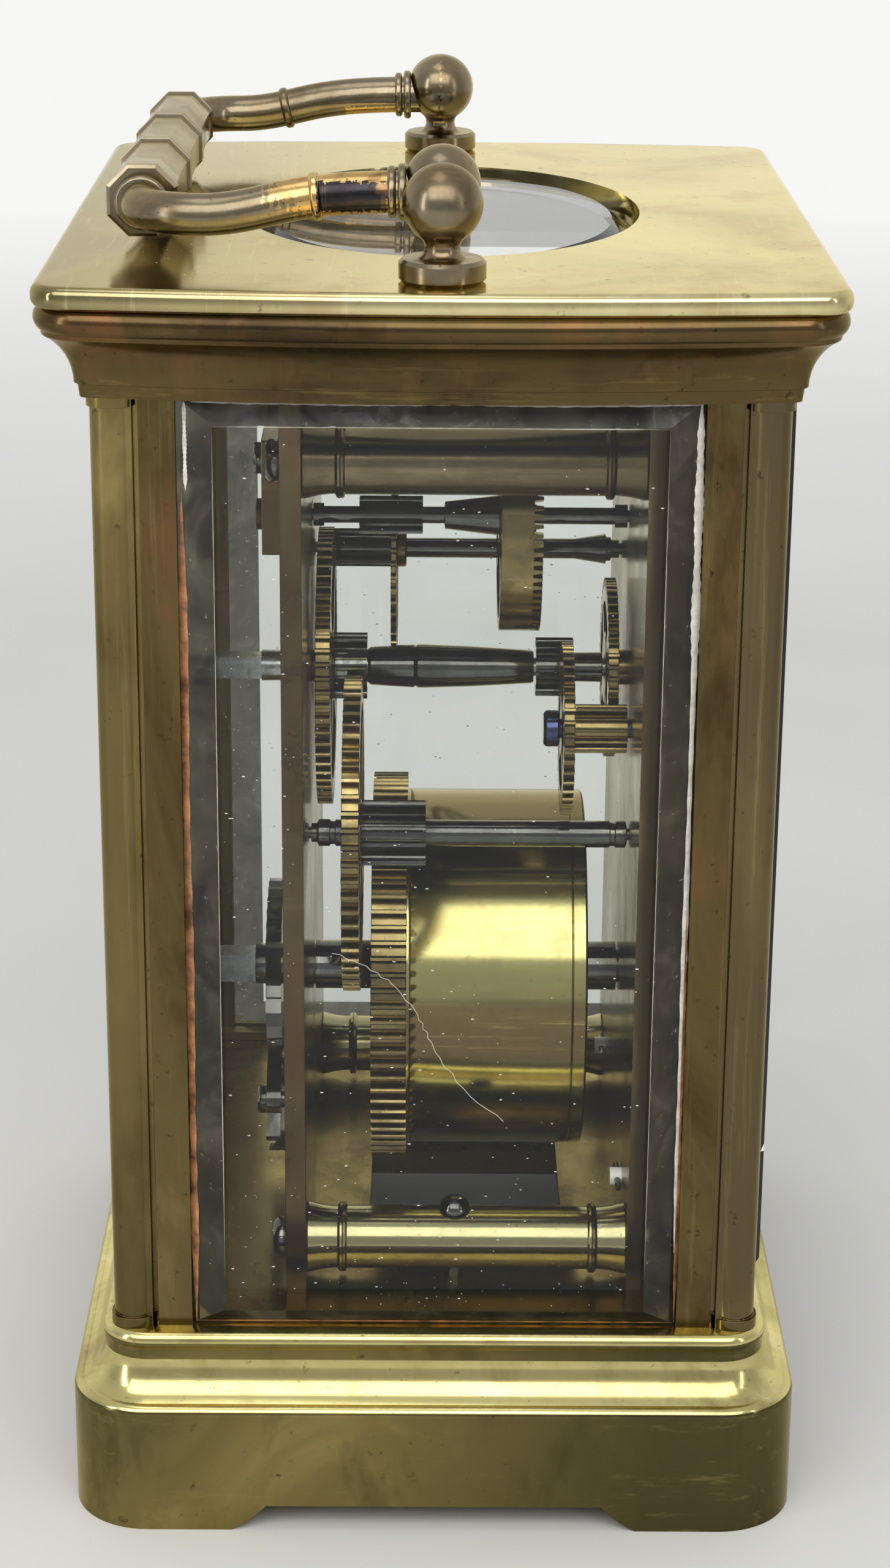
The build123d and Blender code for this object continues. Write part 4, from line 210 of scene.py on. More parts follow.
def ramp(tree, factor, stops):
    """Colour ramp; stops lists (position, colour)."""
    node = add(tree, "ShaderNodeValToRGB", Fac=factor)
    elements = node.color_ramp.elements
    ends = [(elements[0], stops[0]), (elements[1], stops[-1])]
    for element, (position, colour) in ends:
        element.position, element.color = position, (*colour, 1)
    for position, colour in stops[1:-1]:
        elements.new(position).color = (*colour, 1)
    return node.outputs["Color"]


def spread(tree, factor, low, high, from_low=0.3, from_high=0.7):
    """Maps the factor's middle range, clamped, to low and high."""
    node = add(
        tree, "ShaderNodeMapRange", Value=factor,
        From_Min=from_low, From_Max=from_high, To_Min=low, To_Max=high,
    )
    return node.outputs["Result"]


def mix_colour(tree, factor, first, second):
    node = add(tree, "ShaderNodeMix", data_type="RGBA", Factor=factor, A=first, B=second)
    return node.outputs["Result"]


def bump(tree, height, strength, distance, **under):
    """Bumped normal, over an earlier one given as Normal."""
    node = add(tree, "ShaderNodeBump", Strength=strength, Distance=distance, Height=height, **under)
    return node.outputs["Normal"]


def shade(colour, factor):
    return tuple(min(1.0, channel * factor) for channel in colour)


def new_material(name):
    material = bpy.data.materials.new(name)
    material.use_nodes = True
    tree = material.node_tree
    tree.nodes.clear()
    shader = add(tree, "ShaderNodeBsdfPrincipled")
    add(tree, "ShaderNodeOutputMaterial", Surface=shader.outputs["BSDF"])
    return material, tree, shader


def aged_metal(
    name, colour, tarnish, bright, patches, gloss, grain,
    copper=None, specks=0.8, stretch=(1.0, 1.0, 1.0), side_shade=None, bands=None,
):
    """Metal with tarnish patches, rubbed areas, directional scratches and dark pits.

    patches is the patches' scale, gloss the (low, high) roughness, grain the scratches' stretch and stretch
    the patches' own. side_shade is (start, full, colour, weight), painted shade that darkens one side, with
    places in metres along Y, and bands is (lowest Z, highest Z, stops of (share, weight), colour), darker
    bands by height, which on the drum are painted shade and reflections.
    """
    material, tree, shader = new_material(name)
    place = object_coordinates(tree)
    broad = noise(tree, object_coordinates(tree, stretch), patches, 6.0, 0.62, 0.5)
    body = ramp(tree, broad, [(0.30, tarnish), (0.45, shade(colour, 0.85)), (0.58, colour), (0.75, bright)])
    if copper is not None:
        turned = object_coordinates(tree, (1.0, 1.0, 0.45), (0.2, 0.5, 0.9))
        stain = noise(tree, turned, patches * 1.7, 5.0, 0.65, 0.3)
        body = mix_colour(tree, spread(tree, stain, 0.0, 0.75, 0.52, 0.70), body, copper)
    # Painted shade: the colour darkens towards one side, along Y.
    if side_shade is not None:
        start, full, side_shade_colour, weight = side_shade
        wander = (full - start) * 1.6
        uneven = calculate(tree, "MULTIPLY_ADD", broad, wander, axis_of(tree, place, "Y"))
        side_shaded = spread(tree, uneven, 0.0, weight, start + wander / 2, full + wander / 2)
        body = mix_colour(tree, side_shaded, body, side_shade_colour)
    # Darker bands by height; on the drum these are painted shade and reflections.
    if bands is not None:
        low, high, stops, band_colour = bands
        height = spread(tree, axis_of(tree, place, "Z"), 0.0, 1.0, low, high)
        weights = ramp(tree, height, [(share, (weight,) * 3) for share, weight in stops])
        body = mix_colour(tree, weights, body, band_colour)
    pits = noise(tree, place, patches * 16, 3.0, 0.7)
    body = mix_colour(tree, spread(tree, pits, 0.0, specks, 0.64, 0.75), body, shade(tarnish, 0.5))
    scratches = noise(tree, object_coordinates(tree, grain, (0.12, 0.08, 0.1)), 1.0, 7.0, 0.78)
    body = mix_colour(tree, spread(tree, scratches, 0.0, 0.45, 0.56, 0.72), body, bright)
    scratched = bump(tree, scratches, 0.06, 0.02 * MM)
    set_inputs(
        tree, shader, Base_Color=body, Specular_Tint=(1.0, 0.93, 0.72), Metallic=1.0,
        Roughness=spread(tree, broad, gloss[1], gloss[0], 0.32, 0.68),
        Normal=bump(tree, pits, 0.09, 0.03 * MM, Normal=scratched),
    )
    return material


def clear_glass(name, colour):
    """Old plate glass: faint green, with dust haze and wipe marks in its gloss."""
    material, tree, shader = new_material(name)
    smears = noise(tree, object_coordinates(tree, (1.0, 1.0, 0.5)), 90.0, 4.0, 0.6, 1.5)
    haze = noise(tree, object_coordinates(tree), 1700.0, 2.0, 0.6)
    tint = ramp(tree, smears, [(0.3, shade(colour, 0.97)), (0.7, colour)])
    tint = mix_colour(tree, spread(tree, haze, 0.0, 0.5, 0.72, 0.82), tint, shade(colour, 0.8))
    gloss = spread(tree, smears, 0.0, 0.0015, 0.6, 0.9)
    set_inputs(tree, shader, Base_Color=tint, Roughness=gloss, Transmission_Weight=1.0, IOR=1.28)
    return material


def shaded_dusty_bevel(name, colour):
    """Sloped margin of a pane: its dark colour is painted shade, standing in for the darkness the slant
    shows, with a cloudy mottle and pale dust flecks.
    """
    material, tree, shader = new_material(name)
    cloud = noise(tree, object_coordinates(tree), 160.0, 6.0, 0.7, 0.8)
    flecks = noise(tree, object_coordinates(tree), 1500.0, 3.0, 0.7)
    body = ramp(tree, cloud, [(0.35, shade(colour, 0.4)), (0.55, colour), (0.74, shade(colour, 2.6))])
    body = mix_colour(tree, spread(tree, flecks, 0.0, 0.7, 0.66, 0.76), body, (0.70, 0.70, 0.64))
    gloss = spread(tree, cloud, 0.08, 0.22)
    set_inputs(tree, shader, Base_Color=body, Roughness=gloss, Transmission_Weight=0.6, IOR=1.35)
    return material


def mottled(name, colour, darker, scale, gloss, coat=0.0):
    """Plain non-metal surface with a fine mottle."""
    material, tree, shader = new_material(name)
    mottle = noise(tree, object_coordinates(tree), scale, 4.0, 0.6)
    set_inputs(
        tree, shader, Base_Color=ramp(tree, mottle, [(0.35, darker), (0.65, colour)]), Coat_Weight=coat,
        Roughness=spread(tree, mottle, gloss[1], gloss[0]), Normal=bump(tree, mottle, 0.1, 0.04 * MM),
    )
    return material


MATERIALS = {}


def make_materials():
    look = bpy.context.scene.clock_finishes
    case, plinth, top = tuple(look.case_brass), tuple(look.plinth_brass), tuple(look.top_brass)
    plate, wheel, pillar = tuple(look.plate_brass), tuple(look.wheel_brass), tuple(look.pillar_brass)
    drum, bronze, steel = tuple(look.drum_brass), tuple(look.handle_bronze), tuple(look.steel)
    blued, glass, enamel = tuple(look.blued), tuple(look.glass), tuple(look.enamel)
    upright, across = (900.0, 900.0, 25.0), (500.0, 60.0, 500.0)
    round_grain, side_grain = (700.0, 30.0, 700.0), (60.0, 900.0, 60.0)
    copper, olive = (0.20, 0.095, 0.045), (0.055, 0.050, 0.022)
    # Painted shade and reflections on the drum: dark bands at its bottom and top and a red-brown band across
    # its middle stand in for the shade and the dark surroundings it reflects.
    painted_reflection_bands = [
        (0.0, 0.7), (0.06, 0.0), (0.40, 0.0), (0.43, 0.85), (0.58, 0.85), (0.61, 0.3), (0.70, 0.0),
        (0.90, 0.0), (0.93, 0.7), (1.0, 0.7),
    ]
    # The strip, cornice and case floor colours below are likewise partly tarnish and partly painted shade,
    # darker than their brass reflects.
    # Key, name, colour, tarnish, bright, patches, gloss, grain, further values
    metals = (
        # Painted shade on the case, darker towards -Y.
        ("case", "case_brass", case, (0.085, 0.062, 0.028), shade(case, 1.9), 55.0, (0.13, 0.27), upright,
         {"stretch": (1.0, 1.0, 0.5), "side_shade": (0.010, -0.024, (0.115, 0.09, 0.05), 0.75)}),
        ("strip", "strip_brass", shade(case, 0.8), (0.06, 0.036, 0.016), shade(case, 1.7), 70.0, (0.15, 0.30),
         upright, {"copper": copper, "stretch": (1.0, 1.0, 0.35)}),
        ("cornice", "cornice_brass", (0.122, 0.086, 0.036), (0.052, 0.034, 0.018), shade(case, 1.4), 60.0,
         (0.14, 0.28), (900.0, 30.0, 900.0), {"copper": copper, "stretch": (0.5, 0.35, 1.3)}),
        # Painted shade on the plinth, darker towards -Y.
        ("plinth", "plinth_brass", plinth, (0.13, 0.11, 0.045), shade(plinth, 1.7), 50.0, (0.12, 0.26),
         across, {"copper": olive, "side_shade": (0.004, -0.020, (0.075, 0.064, 0.027), 0.85)}),
        # Painted highlight: a brighter copy of the plinth brass for the plinth's upward faces.
        ("rubbed", "rubbed_plinth_brass", (0.66, 0.585, 0.25), (0.34, 0.27, 0.10), (0.86, 0.80, 0.44), 60.0,
         (0.10, 0.22), across, {"copper": (0.30, 0.23, 0.09)}),
        # Painted shade on the top plate, darker towards +Y.
        ("top", "top_brass", top, (0.50, 0.42, 0.20), shade(top, 1.15), 42.0, (0.07, 0.18), side_grain,
         {"copper": (0.58, 0.42, 0.22), "specks": 0.95,
          "side_shade": (0.0, 0.034, (0.17, 0.14, 0.065), 0.9)}),
        ("plate", "movement_brass", plate, (0.055, 0.036, 0.018), shade(plate, 1.9), 60.0, (0.14, 0.28),
         (50.0, 50.0, 800.0), {"copper": (0.11, 0.05, 0.027), "specks": 0.3}),
        ("floor", "case_floor_brass", (0.26, 0.195, 0.065), (0.07, 0.05, 0.022), (0.42, 0.34, 0.13), 75.0,
         (0.16, 0.34), (90.0, 500.0, 90.0), {"copper": (0.12, 0.06, 0.025)}),
        ("wheel", "wheel_brass", wheel, (0.08, 0.055, 0.025), shade(wheel, 2.0), 120.0, (0.12, 0.26),
         round_grain, {}),
        ("pillar", "pillar_brass", pillar, (0.20, 0.165, 0.075), shade(pillar, 1.5), 70.0, (0.10, 0.20),
         round_grain, {}),
        # Painted shade: a darker, browner copy of the pillar brass for the upper pillars.
        ("dull_pillar", "dull_pillar_brass", (0.155, 0.120, 0.066), (0.06, 0.045, 0.022), (0.30, 0.245, 0.14),
         90.0, (0.16, 0.28), round_grain, {}),
        ("drum", "drum_brass", drum, (0.30, 0.22, 0.08), shade(drum, 1.4), 60.0, (0.10, 0.18), round_grain,
         {"copper": (0.30, 0.14, 0.07), "specks": 0.5, "stretch": (1.3, 0.12, 1.3),
          "bands": (0.0225, 0.0575, painted_reflection_bands, (0.10, 0.05, 0.022))}),
        ("bronze", "handle_bronze", bronze, (0.13, 0.10, 0.062), shade(bronze, 1.5), 90.0, (0.15, 0.30),
         across, {"copper": (0.24, 0.16, 0.08)}),
        ("worn", "worn_copper", (0.62, 0.40, 0.16), (0.20, 0.10, 0.045), (0.85, 0.62, 0.30), 420.0,
         (0.14, 0.30), side_grain, {}),
        ("burnt", "burnt_bronze", (0.045, 0.04, 0.045), (0.02, 0.018, 0.02), (0.40, 0.22, 0.10), 300.0,
         (0.16, 0.34), side_grain, {}),
        ("rim", "rubbed_rim", (0.66, 0.60, 0.46), (0.34, 0.29, 0.20), (0.88, 0.84, 0.68), 300.0, (0.12, 0.26),
         side_grain, {}),
        ("steel", "dark_steel", steel, shade(steel, 0.3), shade(steel, 3.4), 130.0, (0.05, 0.13),
         round_grain, {}),
        ("rubbed_steel", "rubbed_steel", (0.46, 0.49, 0.48), (0.16, 0.16, 0.15), (0.74, 0.78, 0.78), 380.0,
         (0.16, 0.34), round_grain, {}),
        ("blued", "blued_steel", blued, (0.02, 0.02, 0.04), (0.09, 0.12, 0.25), 140.0, (0.14, 0.28),
         side_grain, {}),
    )
    for key, *values, further in metals:
        MATERIALS[key] = aged_metal(*values, **further)
    MATERIALS["glass"] = clear_glass("bevelled_glass", glass)
    # The dark bevel is painted shade with dust flecks, and the pale one a painted reflection of the bright
    # sky.
    MATERIALS["bevel"] = shaded_dusty_bevel("bevel_glass", (0.065, 0.06, 0.045))
    MATERIALS["pale_bevel"] = shaded_dusty_bevel("pale_bevel_glass", (0.22, 0.22, 0.21))
    MATERIALS["enamel"] = mottled("dial_enamel", enamel, shade(enamel, 0.95), 120.0, (0.12, 0.2), 0.4)
    black, deeper = (0.02, 0.018, 0.016), (0.010, 0.009, 0.008)
    MATERIALS["figure"] = mottled("dial_black", black, deeper, 700.0, (0.25, 0.4))
    # This pale material serves both the dust and the painted highlight lines on the pane's margin.
    MATERIALS["dust"] = mottled("pale_dust_and_highlight", (0.80, 0.78, 0.72), (0.55, 0.52, 0.46), 900.0, (0.6, 0.9))
    MATERIALS["grime"] = mottled("brown_grime", (0.56, 0.26, 0.12), (0.12, 0.05, 0.022), 420.0, (0.3, 0.5))


POSTS = ("post_front_left", "post_front_right", "post_rear_left", "post_rear_right")
NODE_FINISH = {
    "case": (*POSTS, "door_frame", "door_knob", "top_glass_ring"),
    "cornice": ("cornice_frame",),
    "plinth": ("base_plinth",),
    "top": ("top_plate",),
    "bronze": ("handle_post_left", "handle_post_right", "handle_arm_left", "handle_arm_right", "handle_grip"),
    "floor": ("base_floor",),
    "plate": ("back_plate", "front_plate", "platform_plate", "balance_cock", "contrate_cock"),
    "pillar": ("lower_pillars",),
    "dull_pillar": ("upper_pillars",),
    "wheel": (
        "intermediate_wheel", "centre_wheel", "third_wheel", "contrate_wheel", "minute_wheel", "hour_wheel",
        "escape_wheel", "balance",
    ),
    "drum": ("barrel_drum", "barrel_cover"),
    "steel": (
        "post_screws", "pillar_screws", "holding_screws", "movement_screws", "barrel_arbor", "ratchet_wheel",
        "click", "click_spring", "intermediate_arbor", "centre_arbor", "cannon_pinion", "third_arbor",
        "contrate_arbor", "dial_pins", "lever",
    ),
    "rubbed_steel": ("hand_set_arbor",),
    "blued": ("mainspring", "minute_stud", "hour_hand", "minute_hand", "hairspring"),
    "glass": ("side_glass_left", "side_glass_right", "front_glass", "door_glass", "top_glass"),
    "enamel": ("dial",),
}


def holder_of(node, groups):
    """Key of the group that lists the node."""
    for key, members in groups.items():
        if node in members:
            return key
    raise RuntimeError(f"nothing lists {node}")


def finish_of(node):
    return holder_of(node, NODE_FINISH)


def body_of(node):
    return holder_of(node, frame["record"]["behaviour"]["bodies"])


# Mesh helpers, in mm until a mesh is placed

TO_METRES = Matrix.Scale(MM, 4)


def opened(*meshes):
    work = bmesh.new()
    for mesh in meshes:
        work.from_mesh(mesh)
    return work


def written(work, mesh):
    work.to_mesh(mesh)
    work.free()
    return mesh


def mesh_from(work, name):
    bmesh.ops.recalc_face_normals(work, faces=work.faces)
    return written(work, bpy.data.meshes.new(name))


def joined(name, meshes):
    return written(opened(*meshes), bpy.data.meshes.new(name))


def smooth_by_angle(mesh, limit=CREASE):
    """Smooth faces, with edges sharper than the limit kept crisp."""
    work = opened(mesh)
    for face in work.faces:
        face.smooth = True
    for edge in work.edges:
        if len(edge.link_faces) == 2:
            edge.smooth = edge.calc_face_angle(0.0) < limit
    written(work, mesh)


def new_piece(name, data, material=None):
    piece = bpy.data.objects.new(name, data)
    bpy.context.collection.objects.link(piece)
    if material is not None:
        data.materials.clear()
        data.materials.append(MATERIALS[material])
    return piece


def plain_mesh(holder):
    """Mesh of what an object evaluates to. The object itself goes."""
    graph = bpy.context.evaluated_depsgraph_get()
    mesh = bpy.data.meshes.new_from_object(holder.evaluated_get(graph))
    bpy.data.objects.remove(holder)
    return mesh


def round_edges(piece, width, limit):
    bevel = piece.modifiers.new("edges", "BEVEL")
    bevel.width = width
    bevel.segments = 2
    bevel.limit_method = "ANGLE"
    bevel.angle_limit = limit


def finished_copy(node, edge_round=0.0, limit=CREASE):
    """Stands a merged, smoothed and edge-rounded copy in place of a CAD node."""
    mesh = NODES[node].data.copy()
    mesh.name = f"{node}_finished"
    work = opened(mesh)
    bmesh.ops.remove_doubles(work, verts=work.verts, dist=MERGE_GAP)
    bmesh.ops.dissolve_limit(work, angle_limit=FLAT_TURN, verts=work.verts, edges=work.edges)
    smooth_by_angle(written(work, mesh), limit)
    piece = new_piece(f"{node}_finished", mesh, finish_of(node))
    if edge_round > 0:
        round_edges(piece, edge_round, limit)
    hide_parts(node)
    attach(piece, body_of(node))
    return piece


def finished_copies(*nodes, edge_round=0.0):
    for node in nodes:
        finished_copy(node, edge_round)


def paint(piece, materials, choose):
    """Adds materials to a piece and gives each face the slot that choose names, 0 being its main one."""
    for material in materials:
        piece.data.materials.append(MATERIALS[material])
    for face in piece.data.polygons:
        face.material_index = choose(face)


def spun(name, profile, closed=False):
    """Turned form about local Z; profile lists (height, radius) from one end to the other."""
    sides = sizes().turned_sides
    turns = [2 * pi * index / sides for index in range(sides)]
    work = bmesh.new()
    rings = []
    for height, radius in profile:
        if radius < 1e-6:
            rings.append([work.verts.new((0, 0, height))])
        else:
            rings.append([work.verts.new((radius * cos(turn), radius * sin(turn), height)) for turn in turns])
    pairs = list(zip(rings, rings[1:]))
    if closed:
        pairs.append((rings[-1], rings[0]))
    for low, high in pairs:
        for index in range(sides):
            after = (index + 1) % sides
            corners = (
                low[index % len(low)], low[after % len(low)], high[after % len(high)], high[index % len(high)]
            )
            corners = list(dict.fromkeys(corners))
            if len(corners) > 2:
                work.faces.new(corners)
    return mesh_from(work, name)


def washer(name, inner, outer, low, high, chamfer):
    """Flat ring with chamfered outer edges."""
    profile = [
        (low, inner), (low, outer - chamfer), (low + chamfer, outer), (high - chamfer, outer),
        (high, outer - chamfer), (high, inner),
    ]
    return spun(name, profile, closed=True)


def prism(name, points, low, high):
    """Upright block on a closed outline."""
    work = bmesh.new()
    bottom = [work.verts.new((x, y, low)) for x, y in points]
    top = [work.verts.new((x, y, high)) for x, y in points]
    work.faces.new(bottom)
    work.faces.new(top)
    for index in range(len(points)):
        after = (index + 1) % len(points)
        work.faces.new((bottom[index], bottom[after], top[after], top[index]))
    return mesh_from(work, name)


def facing_front(axis, back_y):
    """Placement, in metres, of a form drawn in the front view with its height running forward."""
    turn = Matrix(((1, 0, 0, axis[0]), (0, 0, -1, back_y), (0, 1, 0, axis[1]), (0, 0, 0, 1)))
    return TO_METRES @ turn


def upright_at(place):
    return TO_METRES @ Matrix.Translation(place)


def raised(mesh, height):
    mesh.transform(Matrix.Translation((0, 0, height)))
    return mesh


def stand(name, mesh, placement, material, rides, *replaced):
    """Places a finished mesh as a piece on a body, in place of any nodes named."""
    mesh.transform(placement)
    smooth_by_angle(mesh)
    piece = new_piece(name, mesh, material)
    if replaced:
        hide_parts(*replaced)
    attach(piece, rides)


# Geometry Nodes groups

def start_group(name, **extra):
    """New group, its inputs as sockets and the geometry of its piece; extra gives further inputs' types."""
    group = bpy.data.node_groups.new(name, "GeometryNodeTree")
    inputs = {"Body": "Geometry", "Piece": "Object", **extra, "Finish": "Material"}
    for label, kind in inputs.items():
        group.interface.new_socket(name=label, in_out="INPUT", socket_type=f"NodeSocket{kind}")
    group.interface.new_socket(name="Geometry", in_out="OUTPUT", socket_type="NodeSocketGeometry")
    source = group.nodes.new("NodeGroupInput").outputs
    piece = add(group, "GeometryNodeObjectInfo", Object=source["Piece"])
    return group, source, piece.outputs["Geometry"]


def stamped(group, **values):
    return add(group, "GeometryNodeInstanceOnPoints", **values).outputs["Instances"]


def finish_group(group, geometry, source):
    """Realizes the instances, gives them their finish and sends them out."""
    plain = add(group, "GeometryNodeRealizeInstances", Geometry=geometry).outputs["Geometry"]
    finish = add(group, "GeometryNodeSetMaterial", Geometry=plain, Material=source["Finish"])
    add(group, "NodeGroupOutput", Geometry=finish.outputs["Geometry"])
    return group


def ring_group():
    """Copies of one piece round a circle, joined to the body they stand on."""
    group, source, piece = start_group("ring_array", Count="Int", Phase="Float")
    points = add(group, "GeometryNodeMeshLine", mode="OFFSET", Count=source["Count"], Offset=(0, 0, 0))
    index = add(group, "GeometryNodeInputIndex").outputs["Index"]
    step = calculate(group, "DIVIDE", 2 * pi, source["Count"])
    turn = calculate(group, "MULTIPLY_ADD", index, step, source["Phase"])
    spin = add(group, "ShaderNodeCombineXYZ", Z=turn).outputs["Vector"]
    copies = stamped(group, Points=points.outputs["Mesh"], Instance=piece, Rotation=spin)
    join = add(group, "GeometryNodeJoinGeometry", Geometry=copies)
    set_inputs(group, join, Geometry=source["Body"])
    return finish_group(group, join.outputs["Geometry"], source)


def place_group():
    """Copies of one piece on the body's points, turned as their turn attribute says."""
    group, source, piece = start_group("place_array")
    turn = add(group, "GeometryNodeInputNamedAttribute", data_type="FLOAT_VECTOR", Name="turn")
    copies = stamped(group, Points=source["Body"], Instance=piece, Rotation=turn.outputs["Attribute"])
    return finish_group(group, copies, source)


def flake_group():
    """Small flakes of uneven size strewn over the body's faces, thicker in some places."""
    group, source, piece = start_group("flake_scatter", Density="Float", Seed="Int")
    cluster = add(group, "ShaderNodeTexNoise", Scale=70.0).outputs["Fac"]
    uneven = spread(group, cluster, 0.2, 2.4, 0.42, 0.68)
    strewn = add(
        group, "GeometryNodeDistributePointsOnFaces", distribute_method="RANDOM", Mesh=source["Body"],
        Density=calculate(group, "MULTIPLY", source["Density"], uneven), Seed=source["Seed"],
    ).outputs
    size = add(group, "FunctionNodeRandomValue", data_type="FLOAT", Min=0.2, Max=1.0, Seed=source["Seed"])
    copies = stamped(
        group, Points=strewn["Points"], Rotation=strewn["Rotation"], Instance=piece,
        Scale=calculate(group, "POWER", size.outputs["Value"], 3.0),
    )
    return finish_group(group, copies, source)


GROUPS = {}
GROUP_MAKERS = {"ring": ring_group, "place": place_group, "flake": flake_group}


def grown(name, kind, body, piece, material, **values):
    """Runs a Geometry Nodes group on a body mesh and gives back the plain mesh."""
    if kind not in GROUPS:
        GROUPS[kind] = GROUP_MAKERS[kind]()
    holder = new_piece(f"{name}_holder", body)
    stamp = new_piece(f"{name}_stamp", piece)
    modifier = holder.modifiers.new("grow", "NODES")
    modifier.node_group = GROUPS[kind]
    values = {**values, "Piece": stamp, "Finish": MATERIALS[material]}
    for item in GROUPS[kind].interface.items_tree:
        if item.in_out == "INPUT" and item.name in values:
            modifier[item.identifier] = values[item.name]
    mesh = plain_mesh(holder)
    mesh.name = name
    bpy.data.objects.remove(stamp)
    return mesh


# Gear work

TOOTH_SINK = 0.15
RIM_WIDTH = 1.5
SPOKE_WIDTH, SPOKE_SINK, SPOKE_INSET = 1.3, 0.3, 0.04


def mesh_distance(module, wheel_teeth, pinion_teeth):
    return module * (wheel_teeth + pinion_teeth) / 2


def above(axis, distance, x):
    """Axis at x, the given distance above another axis."""
    return (x, axis[1] + sqrt(distance ** 2 - (x - axis[0]) ** 2))


INTER_AXIS = above(BARREL_AXIS, mesh_distance(GREAT_MODULE, GREAT_TEETH, LARGE_PINION), INTER_X)
CENTRE_AXIS = above(INTER_AXIS, mesh_distance(INTER_MODULE, INTER_TEETH, LARGE_PINION), 0.0)
THIRD_AXIS = above(CENTRE_AXIS, mesh_distance(CENTRE_MODULE, CENTRE_TEETH, SMALL_PINION), THIRD_X)
CONTRATE_AXIS = above(THIRD_AXIS, mesh_distance(THIRD_MODULE, THIRD_TEETH, SMALL_PINION), 0.0)
MINUTE_REACH = mesh_distance(CANNON_MODULE, CANNON_TEETH, MINUTE_TEETH)
MINUTE_AXIS = (MINUTE_X, CENTRE_AXIS[1] - sqrt(MINUTE_REACH ** 2 - MINUTE_X ** 2))
HOUR_MODULE = 2 * MINUTE_REACH / (LARGE_PINION + HOUR_TEETH)


def toward(here, there):
    return atan2(there[1] - here[1], there[0] - here[0])


def tooth_outline(root_r, rings):
    """One tooth on the local X axis, sunk a little into the rim; rings lists (radius, half width)."""
    rings = [(root_r - TOOTH_SINK, rings[0][1])] + rings
    up = [(radius * cos(half / radius), -radius * sin(half / radius)) for radius, half in rings]
    return up + [(x, -y) for x, y in reversed(up)]


def wheel_tooth(teeth, module, depth):
    """Wheel tooth and the radius of its root. Its sizes are given in modules."""
    pitch = module * teeth / 2
    root = pitch - 1.15 * module
    rings = [(root, 0.75 * module), (pitch, 0.75 * module), (pitch + 0.6 * module, 0.56 * module)]
    rings.append((pitch + 0.95 * module, 0.30 * module))
    return prism("tooth", tooth_outline(root, rings), 0, depth), root


def pinion_leaf(teeth, module, depth):
    """Pinion leaf and the radius of its root. Its sizes are given in modules."""
    pitch = module * teeth / 2
    root = pitch - 1.35 * module
    rings = [(root, 0.56 * module * root / pitch), (pitch, 0.56 * module)]
    rings += [(pitch + 0.42 * module, 0.45 * module), (pitch + 0.65 * module, 0.25 * module)]
    return prism("leaf", tooth_outline(root, rings), 0, depth), root


def spokes(root_r, hub_r, depth, rim=RIM_WIDTH):
    """Four spokes, sunk into hub and rim and a little thinner than they are."""
    meshes = []
    start, end = hub_r - SPOKE_SINK, root_r - rim + SPOKE_SINK
    for index in range(4):
        turn = radians(45 + 90 * index)
        along, across = Vector((cos(turn), sin(turn))), Vector((-sin(turn), cos(turn))) * SPOKE_WIDTH / 2
        corners = (along * start - across, along * end - across, along * end + across, along * start + across)
        meshes.append(prism("spoke", corners, SPOKE_INSET, depth - SPOKE_INSET))
    return meshes


def toothed_wheel(name, axis, back_y, front_y, teeth, module, partner, hub_r, bore_r):
    """Crossed-out wheel whose teeth stand as instances round the rim."""
    depth = back_y - front_y
    tooth, root = wheel_tooth(teeth, module, depth)
    rim = washer("rim", root - RIM_WIDTH, root, 0, depth, 0.06)
    hub = washer("hub", bore_r, hub_r, 0, depth, 0.08)
    body = joined("wheel_body", [rim, hub, *spokes(root, hub_r, depth)])
    phase = toward(axis, partner) + pi / teeth
    return grown(name, "ring", body, tooth, "wheel", Count=teeth, Phase=phase)


def pinion(name, axis, depth, teeth, module, partner, material="steel"):
    leaf, root = pinion_leaf(teeth, module, depth)
    core = spun("core", [(0, 0), (0, root), (depth, root), (depth, 0)])
    return grown(name, "ring", core, leaf, material, Count=teeth, Phase=toward(axis, partner))


class CLOCK_OT_frame(Operator):
    """Makes the materials and gives every CAD node its finish"""

    bl_idname = "clock.frame"
    bl_label = "Materials and frame"

    def execute(self, context):
        make_materials()
        for node, piece in NODES.items():
            piece.data.materials.clear()
            piece.data.materials.append(MATERIALS[finish_of(node)])
        return {"FINISHED"}


def strip_slot(face):
    """The flat strips beside the panes are browner than the round columns."""
    x, y = (face.center / MM).xy
    return int(abs(x) < STRIP_END_X or abs(y) < STRIP_END_Y)


def lit_cove_slot(face):
    """The plinth's upward faces get a painted highlight: a much brighter brass standing in for the light that
    falls on them from above.
    """
    return int(face.center.z > COVE_LOW_Z * MM and face.normal.z > 0.05)


class CLOCK_OT_case(Operator):
    """Plinth, posts, cornice, top plate, door and movement plates with fine rounded edges"""

    bl_idname = "clock.case"
    bl_label = "Case and plates"

    def execute(self, context):
        edge = sizes().edge_round
        paint(finished_copy("base_plinth"), ("rubbed",), lit_cove_slot)
        finished_copies("cornice_frame", "top_plate")
        for node in POSTS:
            paint(finished_copy(node, edge), ("strip",), strip_slot)
        finished_copies("door_frame", "base_floor", *NODE_FINISH["plate"], edge_round=edge)
        finished_copies("door_knob", "top_glass_ring", "balance", "lever", "escape_wheel")
        return {"FINISHED"}


def bevel_slot(face):
    """A pane's sloped margins take the dark bevel, painted shade, and the one that faces up the pale bevel, a
    painted reflection of the bright sky above.
    """
    if max(abs(part) for part in face.normal) >= 0.985:
        return 0
    return 2 if face.normal.z > 0.2 else 1


